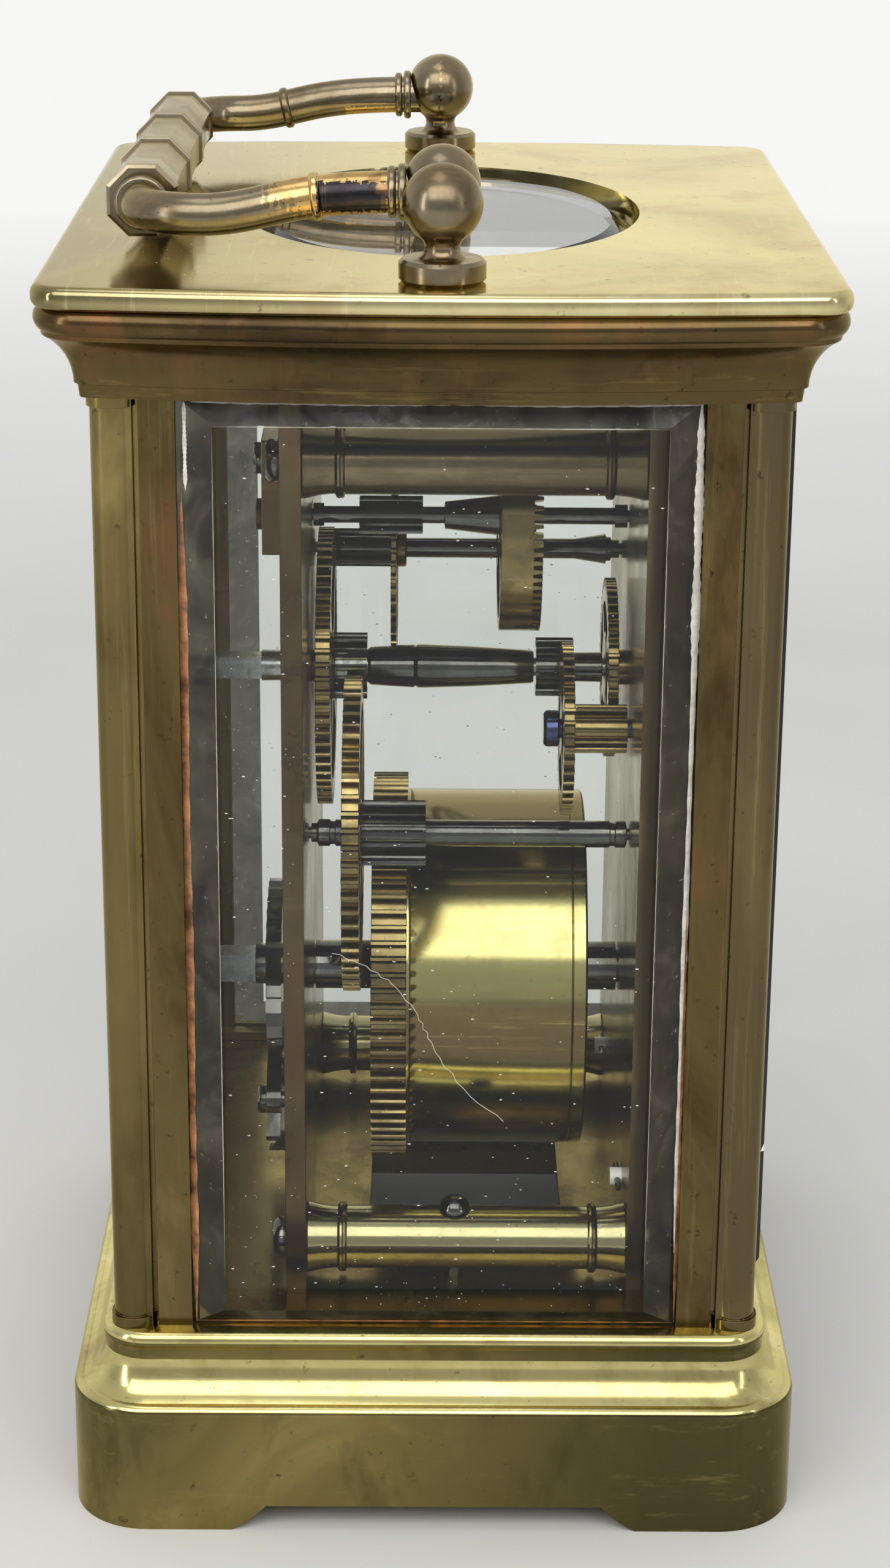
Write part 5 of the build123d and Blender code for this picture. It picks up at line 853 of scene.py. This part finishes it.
class CLOCK_OT_glass(Operator):
    """Bevelled panes, which let the lamps' light through"""

    bl_idname = "clock.glass"
    bl_label = "Glass"

    def execute(self, context):
        for node in NODE_FINISH["glass"]:
            pane = finished_copy(node, limit=radians(5))
            pane.visible_shadow = False
            if node.startswith("side"):
                paint(pane, ("bevel", "pale_bevel"), bevel_slot)
        return {"FINISHED"}


GRIP_LENGTHS = 3
# Distance from a length's end and width across flats, at each station of its raised rim
RIM_STATIONS = [(0.02, 5.5), (0.18, 6.06), (0.95, 6.1), (1.3, 5.72), (3.2, 5.56)]
# Rows of faces that are rubbed bright, of the eleven of each length
RUBBED_ROWS = (0, 2, 7, 9)


def grip_mesh():
    """Octagonal grip of three lengths, drawn along X."""
    part = 2 * GRIP_HALF / GRIP_LENGTHS
    stations = []
    for index in range(GRIP_LENGTHS):
        low, high = -GRIP_HALF + index * part, -GRIP_HALF + (index + 1) * part
        stations += [(low + gap, across) for gap, across in RIM_STATIONS]
        stations.append(((low + high) / 2, 5.5))
        stations += [(high - gap, across) for gap, across in reversed(RIM_STATIONS)]
    work = bmesh.new()
    rings = []
    for x, across in stations:
        radius = across / 2 / cos(pi / 8)
        turns = [pi / 8 + pi / 4 * index for index in range(8)]
        rings.append([work.verts.new((x, radius * cos(turn), radius * sin(turn))) for turn in turns])
    for row, (low, high) in enumerate(zip(rings, rings[1:])):
        for index in range(8):
            after = (index + 1) % 8
            face = work.faces.new((low[index], low[after], high[after], high[index]))
            face.material_index = int(row % 11 in RUBBED_ROWS)
    work.faces.new(rings[0])
    work.faces.new(rings[-1])
    return mesh_from(work, "grip")


def wear_slot(side):
    """Chooser of an arm's rubbed (1) and burnt (2) faces, by their places in mm."""
    start, end = (4.6, 10.4) if side < 0 else (0.0, 0.0)

    def choose(face):
        y, z = (face.center / MM).yz
        wave = 0.5 * sin(9 * y) + 0.4 * sin(23 * y + 5 * z)
        if start < y < end + 0.2 * wave:
            return 1 if z < 119.8 + 0.2 * wave or z > 122.3 + 0.2 * wave else 2
        if side < 0:
            return int(end <= y < 14.2 + wave and z > 119.2 + 0.4 * (y - 10) - wave)
        return int(4.5 < y < 9.5 and z < min(120.2, 120.9 - 0.06 * y + 0.25 * wave))

    return choose


class CLOCK_OT_handle(Operator):
    """Turned posts, worn arms and the eight-sided grip with its rubbed rims"""

    bl_idname = "clock.handle"
    bl_label = "Handle"

    def execute(self, context):
        finished_copies("handle_post_left", "handle_post_right")
        for node, side in (("handle_arm_left", -1), ("handle_arm_right", 1)):
            paint(finished_copy(node), ("worn", "burnt"), wear_slot(side))
        grip = grip_mesh()
        grip.transform(upright_at(GRIP_PLACE))
        smooth_by_angle(grip, radians(20))
        piece = new_piece("grip_finished", grip, "bronze")
        grip.materials.append(MATERIALS["rim"])
        round_edges(piece, 0.12 * MM, radians(30))
        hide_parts("handle_grip")
        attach(piece, "handle")
        return {"FINISHED"}


def pillar_profile():
    """Pillar along -Y from the back plate: flared ends, doubled rings and a straight shaft."""
    length = BACK_IN_Y - FRONT_IN_Y
    half = [
        (0, 0), (0, 3.25), (0.12, 3.35), (0.7, 3.2), (1.5, 3.02), (2.4, 2.92), (2.86, 2.9), (2.95, 3.12),
        (3.1, 3.27), (3.28, 3.3), (3.34, 3.2), (3.42, 3.3), (3.6, 3.24), (3.7, 3.02), (3.76, 2.95),
    ]
    # The front end's rings stand a little nearer to its plate
    front = [(height - 0.15 if height > 2.8 else height, radius) for height, radius in reversed(half)]
    return half + [(length - height, radius) for height, radius in front]


class CLOCK_OT_turned(Operator):
    """Pillars, the spring barrel and the arbors with their pinions"""

    bl_idname = "clock.turned"
    bl_label = "Turned work"

    def execute(self, context):
        for height, name in zip(PILLAR_HEIGHTS, ("upper_pillars", "lower_pillars")):
            pair = []
            for x in (-PILLAR_X, PILLAR_X):
                pair.append(spun("pillar", pillar_profile()))
                pair[-1].transform(Matrix.Translation((x, height, 0)))
            place = facing_front((0, 0), BACK_IN_Y)
            stand(f"{name}_turned", joined(name, pair), place, finish_of(name), "case", name)
        self.barrel()
        self.arbors()
        finished_copies(
            "hand_set_arbor", "barrel_cover", "mainspring", "ratchet_wheel", "click", "click_spring",
            "post_screws", "dial_pins", "hairspring", "hour_hand", "minute_hand",
        )
        return {"FINISHED"}

    def barrel(self):
        """Great wheel, drum and the hook screw standing out below."""
        depth = GREAT_BACK_Y - GREAT_FRONT_Y
        tooth, root = wheel_tooth(GREAT_TEETH, GREAT_MODULE, depth)
        disc = washer("disc", 2.45, root, 0, depth, 0.06)
        phase = toward(BARREL_AXIS, INTER_AXIS) + pi / GREAT_TEETH
        wheel = grown("great_wheel", "ring", disc, tooth, "wheel", Count=GREAT_TEETH, Phase=phase)
        stand("great_wheel", wheel, facing_front(BARREL_AXIS, GREAT_BACK_Y), None, "barrel", "barrel_drum")
        length = DRUM_BACK_Y - DRUM_FRONT_Y
        wall = [
            (0.0, 16.5), (0.0, DRUM_R - 0.25), (0.25, DRUM_R), (0.7, DRUM_R), (0.8, DRUM_R - 0.06),
            (0.9, DRUM_R), (length - 1.5, DRUM_R), (length - 1.4, DRUM_R - 0.08), (length - 1.3, DRUM_R),
            (length - 0.2, DRUM_R), (length, DRUM_R - 0.2), (length, 16.55),
        ]
        drum = spun("drum", wall, closed=True)
        stand("drum", drum, facing_front(BARREL_AXIS, DRUM_BACK_Y), "drum", "barrel", "barrel_drum")
        screw = [(0, 0)]
        for index in range(9):
            height = 0.35 * index
            screw += [(height, 0.52), (height + 0.17, 0.65)]
        screw += [(3.15, 0.52), (3.15, 0)]
        stand("hook_screw", spun("hook", screw), upright_at(HOOK_PLACE), "steel", "barrel", "barrel_drum")

    def arbors(self):
        """Arbors run forward from the back plate; each height is a distance from its inner face."""
        place = facing_front(BARREL_AXIS, BACK_IN_Y)
        square = prism("square", [(-1.4, -1.4), (1.4, -1.4), (1.4, 1.4), (-1.4, 1.4)], -9.7, -5.8)
        stand("winding_square", square, place, "rubbed_steel", "winding", "barrel_arbor")
        barrel = [
            (-5.8, 0), (-5.8, 2.0), (0.1, 2.0), (0.15, 2.4), (5.9, 2.4), (6.1, 2.3), (6.3, 2.4), (23.2, 2.4),
            (23.4, 2.25), (23.6, 2.4), (29.85, 2.4), (29.85, 1.6), (31.9, 1.6), (31.9, 0),
        ]
        arbor = spun("barrel_arbor", barrel)
        stand("barrel_arbor_turned", arbor, place, "steel", "winding", "barrel_arbor")

        shaft = [
            (-1.9, 0), (-1.9, 0.55), (0.15, 0.55), (0.2, 0.9), (0.7, 0.9), (0.9, 1.27), (1.9, 1.27),
            (2.0, 1.1), (2.4, 1.1), (2.5, 1.27), (28.2, 1.27), (28.3, 1.12), (28.7, 1.12), (28.8, 1.27),
            (29.7, 1.27), (29.85, 0.95), (29.85, 0.55), (31.9, 0.55), (31.9, 0),
        ]
        self.with_pinion(
            "intermediate", shaft, INTER_AXIS, 4.9, 6.04, LARGE_PINION, GREAT_MODULE, BARREL_AXIS
        )

        pipe = [
            (-1.9, 0.95), (-1.9, 1.5), (0.1, 1.5), (0.15, 1.6), (5.3, 1.6), (5.6, 1.85), (9.7, 2.08),
            (9.9, 1.95), (10.1, 2.1), (10.7, 2.1), (15, 1.95), (18, 1.78), (20.9, 1.6), (21.2, 1.5),
            (21.2, 0.95),
        ]
        self.with_pinion("centre", pipe, CENTRE_AXIS, 2.0, 3.24, LARGE_PINION, INTER_MODULE, INTER_AXIS, True)

        third = [
            (-1.9, 0), (-1.9, 0.55), (0.15, 0.55), (0.2, 0.95), (25.5, 1.0), (28.0, 1.4), (28.5, 1.5),
            (28.6, 1.2), (29.0, 1.2), (29.1, 0.9), (29.85, 0.9), (29.85, 0.55), (31.9, 0.55), (31.9, 0),
        ]
        self.with_pinion("third", third, THIRD_AXIS, 0.4, 7.05, SMALL_PINION, CENTRE_MODULE, CENTRE_AXIS)

        crown = [
            (-4.0, 0), (-4.0, 0.55), (0.1, 0.55), (0.15, 1.1), (1.15, 1.1), (1.2, 0.8), (12.5, 0.8),
            (12.6, 1.3), (17.7, 1.9), (17.75, 0.8), (28.6, 0.8), (28.65, 1.1), (29.85, 1.1), (29.9, 0.55),
            (31.9, 0.55), (31.9, 0),
        ]
        self.with_pinion("contrate", crown, CONTRATE_AXIS, 4.5, 6.0, SMALL_PINION, THIRD_MODULE, THIRD_AXIS)

        leaves = pinion("cannon", CENTRE_AXIS, 3.6, CANNON_TEETH, CANNON_MODULE, MINUTE_AXIS)
        collar = spun("collar", [(3.5, 0.93), (3.5, 1.4), (6.3, 1.45), (6.4, 1.3), (6.4, 0.93)], closed=True)
        cannon = joined("cannon_pinion", [leaves, collar])
        place = facing_front(CENTRE_AXIS, CANNON_BACK_Y)
        stand("cannon_turned", cannon, place, "steel", "centre", "cannon_pinion")
        head = [
            (0, 0), (0, 1.45), (0.2, 1.65), (0.35, 1.7), (1.3, 1.7), (1.5, 1.5), (1.55, 0.9), (10.0, 0.9),
            (10.0, 0),
        ]
        place = facing_front(MINUTE_AXIS, STUD_BACK_Y)
        stand("minute_stud_turned", spun("stud", head), place, "blued", "case", "minute_stud")

    def with_pinion(self, name, profile, axis, start, depth, teeth, module, partner, hollow=False):
        """Stands an arbor whose pinion starts at the given height."""
        node = f"{name}_arbor"
        shaft = spun(f"{name}_shaft", profile, closed=hollow)
        leaves = raised(pinion(f"{name}_leaves", axis, depth, teeth, module, partner), start)
        arbor = joined(node, [shaft, leaves])
        stand(f"{node}_turned", arbor, facing_front(axis, BACK_IN_Y), "steel", body_of(node), node)


def contrate_mesh():
    """Wheel with a deep rim, whose crown teeth point forward."""
    rim_width, hub_r, web = 1.2, 2.6, 1.1
    rim = washer("rim", CONTRATE_R - rim_width, CONTRATE_R, 0, 3.05, 0.05)
    hub = washer("hub", 0.83, hub_r, 0, web, 0.08)
    body = joined("contrate_body", [rim, hub, *spokes(CONTRATE_R, hub_r, web, rim_width)])
    outline = [(-0.26, 2.95), (0.26, 2.95), (0.15, 3.88), (-0.15, 3.88)]
    tooth = prism("crown_tooth", outline, 9.74, 10.88)
    tooth.transform(Matrix(((0, 0, 1, 0), (1, 0, 0, 0), (0, 1, 0, 0), (0, 0, 0, 1))))
    phase = pi / 2 + pi / CONTRATE_TEETH
    return grown("contrate_wheel", "ring", body, tooth, "wheel", Count=CONTRATE_TEETH, Phase=phase)


class CLOCK_OT_wheels(Operator):
    """Crossed-out wheels of the train and the motion work"""

    bl_idname = "clock.wheels"
    bl_label = "Wheels"

    def execute(self, context):
        # Name, axis, back and front Y, teeth, module, partner's axis, hub and bore radius
        rows = (
            ("intermediate_wheel", INTER_AXIS, 8.7, 7.1, INTER_TEETH, INTER_MODULE, CENTRE_AXIS, 3.2, 1.3),
            ("centre_wheel", CENTRE_AXIS, 11.4, 10.0, CENTRE_TEETH, CENTRE_MODULE, THIRD_AXIS, 3.4, 1.63),
            ("third_wheel", THIRD_AXIS, 4.55, 4.0, THIRD_TEETH, THIRD_MODULE, CONTRATE_AXIS, 2.6, 1.03),
            ("minute_wheel", MINUTE_AXIS, -11.55, -12.56, MINUTE_TEETH, CANNON_MODULE, CENTRE_AXIS,
             2.6, 0.95),
            ("hour_wheel", CENTRE_AXIS, -16.0, -17.0, HOUR_TEETH, HOUR_MODULE, MINUTE_AXIS, 3.4, 1.15),
        )
        for row in rows:
            name, axis, back_y = row[:3]
            meshes = [toothed_wheel(*row)]
            if name == "third_wheel":
                meshes.append(washer("collet", 1.03, 1.9, 0.45, 1.45, 0.15))
            if name == "minute_wheel":
                leaves = pinion("minute_leaves", axis, 5.24, LARGE_PINION, HOUR_MODULE, CENTRE_AXIS, "wheel")
                meshes.append(raised(leaves, 0.91))
            if name == "hour_wheel":
                meshes.append(washer("pipe", 1.1, 1.7, 0.9, 10.1, 0.1))
            mesh = joined(name, meshes)
            stand(f"{name}_cut", mesh, facing_front(axis, back_y), "wheel", body_of(name), name)
        place = facing_front(CONTRATE_AXIS, CONTRATE_BACK_Y)
        stand("contrate_wheel_cut", contrate_mesh(), place, None, "contrate", "contrate_wheel")
        return {"FINISHED"}


SLOT_HALF = 0.25


def slotted_head(radius, height, shank_r, shank):
    """Slotted screw head with its shank running down, top at the given height."""
    profile = [
        (-shank, 0), (-shank, shank_r), (0, shank_r), (0, radius - 0.05), (0.1, radius),
        (height * 0.6, radius), (height * 0.85, radius * 0.93), (height, radius * 0.8), (height, 0),
    ]
    work = opened(spun("head", profile))
    for offset in (-SLOT_HALF, SLOT_HALF):
        cut = work.verts[:] + work.edges[:] + work.faces[:]
        bmesh.ops.bisect_plane(work, geom=cut, plane_co=(0, offset, 0), plane_no=(0, 1, 0))
    for vert in work.verts:
        if abs(vert.co.y) < SLOT_HALF - 1e-5 and vert.co.z > height * 0.5:
            vert.co.z = height * 0.45
    return mesh_from(work, "screw")


def place_points(name, spots):
    """Point mesh; spots lists (place in mm, turn)."""
    mesh = bpy.data.meshes.new(name)
    mesh.from_pydata([place for place, turn in spots], [], [])
    turns = mesh.attributes.new("turn", "FLOAT_VECTOR", "POINT")
    for index, (place, turn) in enumerate(spots):
        turns.data[index].vector = turn
    return mesh


class CLOCK_OT_screws(Operator):
    """Slotted screws, set out as instances"""

    bl_idname = "clock.screws"
    bl_label = "Screws"

    def execute(self, context):
        name, spots = "pillar_screws_set", []
        for index, (x, z) in enumerate((x, z) for z in PILLAR_HEIGHTS for x in (-PILLAR_X, PILLAR_X)):
            spots.append(((x, BACK_OUT_Y, z), (-pi / 2, 0.4 + 1.1 * index, 0)))
            spots.append(((x, FRONT_OUT_Y, z), (pi / 2, 0.9 - 0.8 * index, 0)))
        screw = slotted_head(radius=1.9, height=1.3, shank_r=0.9, shank=5.9)
        screws = grown(name, "place", place_points(name, spots), screw, "steel")
        stand(name, screws, TO_METRES, None, "case", "pillar_screws")
        finished_copies("holding_screws", "movement_screws")
        return {"FINISHED"}


NUMERALS = ("XII", "I", "II", "III", "IIII", "V", "VI", "VII", "VIII", "IX", "X", "XI")
PRINT_DEPTH = 0.015
TRACK_WIDTH = 0.9
FIGURE_SQUEEZE = 0.72


def figure_mesh(text, height):
    """Flat hour figure as a thin mesh in the local XY plane, in mm."""
    curve = bpy.data.curves.new("figure", "FONT")
    curve.body = text
    curve.size = height
    curve.align_x = "CENTER"
    curve.align_y = "CENTER"
    curve.extrude = PRINT_DEPTH
    curve.resolution_u = 6
    return plain_mesh(new_piece("figure", curve))


class CLOCK_OT_dial(Operator):
    """Enamel dial with plain hour figures and minute marks"""

    bl_idname = "clock.dial"
    bl_label = "Dial"

    def execute(self, context):
        finished_copy("dial", 0.1 * MM)
        radius, height = sizes().chapter_radius / MM, sizes().figure_height / MM
        place = facing_front(CENTRE_AXIS, DIAL_FRONT_Y)
        meshes = []
        for hour, text in enumerate(NUMERALS):
            figure = figure_mesh(text, height)
            figure.transform(Matrix.Scale(FIGURE_SQUEEZE, 4, (1, 0, 0)))
            turn = radians(-30 * hour)
            figure.transform(Matrix.Rotation(turn, 4, "Z") @ Matrix.Translation((0, radius, 0)))
            meshes.append(figure)
        stand("hour_figures", joined("hour_figures", meshes), place, "figure", "case")
        inner = radius + height * 0.62
        outer = inner + TRACK_WIDTH
        mark = prism("mark", [(inner, -0.08), (outer, -0.08), (outer, 0.08), (inner, 0.08)], 0, PRINT_DEPTH)
        rails = [washer("rail", at, at + 0.12, 0, PRINT_DEPTH, 0.001) for at in (inner, outer)]
        count = sizes().minute_marks
        track = grown("minute_track", "ring", joined("rails", rails), mark, "figure", Count=count, Phase=0.0)
        stand("minute_track", track, place, None, "case")
        return {"FINISHED"}


def pane_surface(y, z):
    """X of the near pane's outer surface, sloping to its lip at the margins."""
    across = (POST_EDGE_Y - abs(y)) * 0.532
    upright = min(PANE_TOP_Z - z, z - PANE_LOW_Z) * 0.786
    return -min(PANE_OUT_X, LIP_X + max(0.0, min(across, upright)))


def ragged_line(start, end, width, seed, steps=90):
    """Uneven narrow ribbon lying on the near pane between two (y, z) points in mm."""
    work = bmesh.new()
    rows = []
    start, end = Vector(start), Vector(end)
    run = (end - start).normalized()
    across = Vector((-run.y, run.x))
    for index in range(steps + 1):
        share = index / steps
        at = start.lerp(end, share)
        ragged = 0.78 + 0.14 * sin(seed + 17 * share) + 0.09 * sin(seed * 3 + 131 * share)
        half = width / 2 * ragged * min(1.0, 8 * share + 0.1, 8 * (1 - share) + 0.1)
        row = []
        for offset, lift in ((-half, 0.015), (0.0, 0.05), (half, 0.015)):
            y, z = at + across * offset
            row.append(work.verts.new((pane_surface(y, z) - lift, y, z)))
        rows.append(row)
    for low, high in zip(rows, rows[1:]):
        for index in (0, 1):
            work.faces.new((low[index], low[index + 1], high[index + 1], high[index]))
    return mesh_from(work, "ragged_line")


def thin_wire(name, points, radius):
    curve = bpy.data.curves.new(name, "CURVE")
    curve.dimensions = "3D"
    curve.bevel_depth = radius
    spline = curve.splines.new("POLY")
    spline.points.add(len(points) - 1)
    for point, place in zip(spline.points, points):
        point.co = (*place, 1)
    return plain_mesh(new_piece(name, curve))


class CLOCK_OT_dust(Operator):
    """Dust flakes, edge dust with a painted highlight down one margin, grime lines and one long scratch on
    the glass
    """

    bl_idname = "clock.dust"
    bl_label = "Dust and wear"

    def execute(self, context):
        work = bmesh.new()
        bmesh.ops.create_icosphere(work, subdivisions=1, radius=sizes().dust_size)
        bmesh.ops.scale(work, vec=(1.5, 0.6, 0.3), verts=work.verts)
        flake = written(work, bpy.data.meshes.new("flake"))
        for side, name in ((-1, "left"), (1, "right")):
            x, y, low, high = side * PANE_OUT_X, POST_EDGE_Y - 3.5, 22, 102
            corners = [(x, -y, low), (x, y, low), (x, y, high), (x, -y, high)]
            self.strew(f"dust_{name}", flake, [corners], 4 + side)
        rows = []
        for side in (-1, 1):
            y, end, x, tip = 18.8 * side, 31 * side, 25.6 * side, 37 * side
            rows.append([(-37, y, TOP_Z), (37, y, TOP_Z), (37, end, TOP_Z), (-37, end, TOP_Z)])
            rows.append([(x, -18.6, TOP_Z), (tip, -18.6, TOP_Z), (tip, 18.6, TOP_Z), (x, 18.6, TOP_Z)])
        self.strew("dust_top", flake, rows, 11, 0.6)
        rows = [[(-34, -17, FLOOR_Z), (-34, 11, FLOOR_Z), (-24, 11, FLOOR_Z), (-24, -17, FLOOR_Z)]]
        self.strew("dust_floor", flake, rows, 21, 0.8)
        self.lines()
        self.scratch()
        return {"FINISHED"}

    def strew(self, name, flake, faces, seed, share=1.0):
        """Strews flakes over flat faces given by their corners in mm."""
        work = bmesh.new()
        for corners in faces:
            work.faces.new([work.verts.new(Vector(corner) * MM) for corner in corners])
        patch = mesh_from(work, "patch")
        density = sizes().dust_density * share
        dust = grown(name, "flake", patch, flake.copy(), "dust", Density=density, Seed=seed)
        stand(name, dust, Matrix.Identity(4), None, "case")

    def lines(self):
        """Pale and brown lines along the near pane's margins, each as (start, end, width, seed). The two pale
        lines down the -Y margin are a painted highlight on the bevel's edge, mixed with dust; the other pale
        lines are dust and the brown ones grime.
        """
        edge, ridge = POST_EDGE_Y - 0.35, POST_EDGE_Y - 3.1
        low, high = PANE_LOW_Z + 0.2, PANE_TOP_Z - 0.2
        dust = (
            # Painted highlight, mixed with dust: the bevel's edge down the -Y margin.
            ((-edge, 26), (-edge, high), 0.6, 1.3),
            ((-edge, 80), (0.1 - edge, high), 0.9, 3.3),
            ((edge - 1, high - 0.2), (-edge, high - 0.2), 0.5, 2.2),
            ((edge - 0.4, 97), (edge - 0.4, high), 0.4, 5.2),
            ((ridge, 24), (ridge, high - 2), 0.07, 4.1),
            ((ridge, high - 2), (-ridge, high - 2), 0.08, 6.3),
            ((-ridge, 24), (-ridge, high - 2), 0.06, 7.7),
        )
        grime = (
            ((edge, low), (edge, 98), 0.85, 0.4),
            ((edge, low + 0.1), (-edge, low + 0.1), 0.35, 5.4),
            ((-edge - 0.2, low), (-edge - 0.1, 60), 0.5, 2.9),
        )
        for name, material, rows in (("edge_dust", "dust", dust), ("edge_grime", "grime", grime)):
            mesh = joined(name, [ragged_line(*row) for row in rows])
            stand(name, mesh, TO_METRES, material, "case")

    def scratch(self):
        """Long wavering scratch through the bends, which are (y, z) in mm."""
        bends = [
            (9.1, 55.9), (6.2, 54.6), (3.9, 53.0), (1.9, 50.4), (0.9, 48.3), (-0.2, 45.9), (-3.0, 42.1),
            (-6.9, 39.2),
        ]
        points = []
        for (y, z), (next_y, next_z) in zip(bends, bends[1:]):
            for step in range(5):
                share = step / 5
                wobble = 0.11 * sin(5 * y + 9 * step)
                at_y, at_z = y + (next_y - y) * share + wobble, z + (next_z - z) * share - wobble / 2
                points.append((-PANE_OUT_X, at_y, at_z))
        stand("glass_scratch", thin_wire("scratch", points, 0.024), TO_METRES, "dust", "case")


# Stage

LAMP_TARGET = Vector((0.0, 0.0, 0.06))


def area_lamp(name, place, width, height, radiance, colour=(1.0, 1.0, 1.0)):
    """Soft lamp whose power follows from its size and how bright its face is."""
    data = bpy.data.lights.new(name, "AREA")
    data.shape = "RECTANGLE"
    data.size = width
    data.size_y = height
    data.energy = radiance * pi * width * height
    data.color = colour
    lamp = new_piece(name, data)
    lamp.location = Vector(place)
    lamp.rotation_euler = (LAMP_TARGET - Vector(place)).to_track_quat("-Z", "Y").to_euler()


def make_camera():
    data = bpy.data.cameras.new("camera")
    data.sensor_fit = "VERTICAL"
    data.sensor_height = 36.0
    data.lens = FOCAL_PIXELS / IMAGE_HEIGHT * data.sensor_height
    data.clip_start = 0.01
    camera = new_piece("camera", data)
    level_turn = cos(CAMERA_PITCH)
    ahead = Vector((cos(CAMERA_YAW) * level_turn, -sin(CAMERA_YAW) * level_turn, -sin(CAMERA_PITCH)))
    level = Vector((-sin(CAMERA_YAW), -cos(CAMERA_YAW), 0.0))
    over = level.cross(ahead)
    side = level * cos(CAMERA_ROLL) + over * sin(CAMERA_ROLL)
    up = over * cos(CAMERA_ROLL) - level * sin(CAMERA_ROLL)
    turn = Matrix((side, up, -ahead)).transposed()
    camera.matrix_world = Matrix.Translation(Vector(CAMERA_PLACE) * MM) @ turn.to_4x4()
    bpy.context.scene.camera = camera


def studio_world():
    """Pale surround, whitest above and behind the clock."""
    world = bpy.data.worlds.new("studio")
    bpy.context.scene.world = world
    world.use_nodes = True
    tree = world.node_tree
    tree.nodes.clear()
    place = add(tree, "ShaderNodeTexCoord").outputs["Generated"]
    split = add(tree, "ShaderNodeSeparateXYZ", Vector=place).outputs
    across = spread(tree, split["X"], 0.0, 1.0, -0.9, 0.75)
    tones = [(0.0, (0.46, 0.46, 0.46)), (0.5, (0.52, 0.52, 0.52)), (0.82, (0.93, 0.93, 0.92))]
    high = spread(tree, split["Z"], 0.0, 1.0, 0.40, 0.80)
    tones = mix_colour(tree, high, ramp(tree, across, tones), (0.70, 0.70, 0.69))
    background = add(tree, "ShaderNodeBackground", Color=tones, Strength=1.0)
    add(tree, "ShaderNodeOutputWorld", Surface=background.outputs["Background"])


def floor_material():
    """Pale matt floor that runs out into the pale surround."""
    material, tree, shader = new_material("pale_floor")
    place = object_coordinates(tree)
    mottle = noise(tree, place, 9.0, 3.0, 0.5)
    tone = ramp(tree, mottle, [(0.3, (0.64, 0.64, 0.625)), (0.7, (0.69, 0.69, 0.675))])
    set_inputs(tree, shader, Base_Color=tone, Roughness=0.75)
    shift = add(tree, "ShaderNodeMapping", Vector=place, Location=(0.15, 0.0, 0.0))
    distance = add(tree, "ShaderNodeVectorMath", operation="LENGTH")
    feed(tree, shift.outputs["Vector"], distance.inputs[0])
    fade = spread(tree, distance.outputs["Value"], 0.0, 1.0, 0.40, 0.85)
    mix = add(tree, "ShaderNodeMixShader", Fac=fade)
    feed(tree, shader.outputs["BSDF"], mix.inputs[1])
    feed(tree, add(tree, "ShaderNodeBsdfTransparent").outputs["BSDF"], mix.inputs[2])
    output = [node for node in tree.nodes if node.type == "OUTPUT_MATERIAL"][0]
    feed(tree, mix.outputs["Shader"], output.inputs["Surface"])
    return material


class CLOCK_OT_stage(Operator):
    """Lays the pale floor and sets the lamps, the world and the camera"""

    bl_idname = "clock.stage"
    bl_label = "Stage"

    def execute(self, context):
        bpy.ops.mesh.primitive_plane_add(size=2.4, location=(0, 0, 0))
        floor = context.object
        floor.name = "floor"
        floor.data.materials.append(floor_material())
        studio_world()
        area_lamp("front_panel", (-0.48, 0.03, 0.50), 0.85, 0.40, 2.5, (1.0, 0.985, 0.95))
        area_lamp("left_strip", (-0.36, 0.52, 0.22), 0.07, 0.50, 6.0)
        area_lamp("right_strip", (-0.45, -0.60, 0.30), 0.05, 0.50, 4.0, (0.95, 0.98, 1.0))
        area_lamp("overhead", (-0.06, 0.08, 0.75), 0.30, 0.25, 1.4)
        make_camera()
        context.scene.view_settings.view_transform = "Standard"
        return {"FINISHED"}


class CLOCK_PT_panel(Panel):
    """Lists the clock's pieces and sizes"""

    bl_idname = "CLOCK_PT_panel"
    bl_label = "Carriage clock"
    bl_space_type = "VIEW_3D"
    bl_region_type = "UI"
    bl_category = "Clock"

    def draw(self, context):
        layout = self.layout
        for operator in OPERATORS:
            layout.operator(operator.bl_idname)
        for group in (context.scene.clock_finishes, context.scene.clock_sizes):
            for name in group.__annotations__:
                layout.prop(group, name)


OPERATORS = [
    CLOCK_OT_frame,
    CLOCK_OT_case,
    CLOCK_OT_glass,
    CLOCK_OT_handle,
    CLOCK_OT_turned,
    CLOCK_OT_wheels,
    CLOCK_OT_screws,
    CLOCK_OT_dial,
    CLOCK_OT_dust,
    CLOCK_OT_stage,
]
CLASSES = [ClockFinishes, ClockSizes, *OPERATORS, CLOCK_PT_panel]


def register():
    for item in CLASSES:
        bpy.utils.register_class(item)
    bpy.types.Scene.clock_finishes = PointerProperty(type=ClockFinishes)
    bpy.types.Scene.clock_sizes = PointerProperty(type=ClockSizes)


def unregister():
    del bpy.types.Scene.clock_sizes
    del bpy.types.Scene.clock_finishes
    for item in reversed(CLASSES):
        bpy.utils.unregister_class(item)


def main():
    register()
    bpy.ops.clock.frame()
    bpy.ops.clock.case()
    bpy.ops.clock.glass()
    bpy.ops.clock.handle()
    bpy.ops.clock.turned()
    bpy.ops.clock.wheels()
    bpy.ops.clock.screws()
    bpy.ops.clock.dial()
    bpy.ops.clock.dust()
    bpy.ops.clock.stage()


if __name__ == "__main__":
    main()
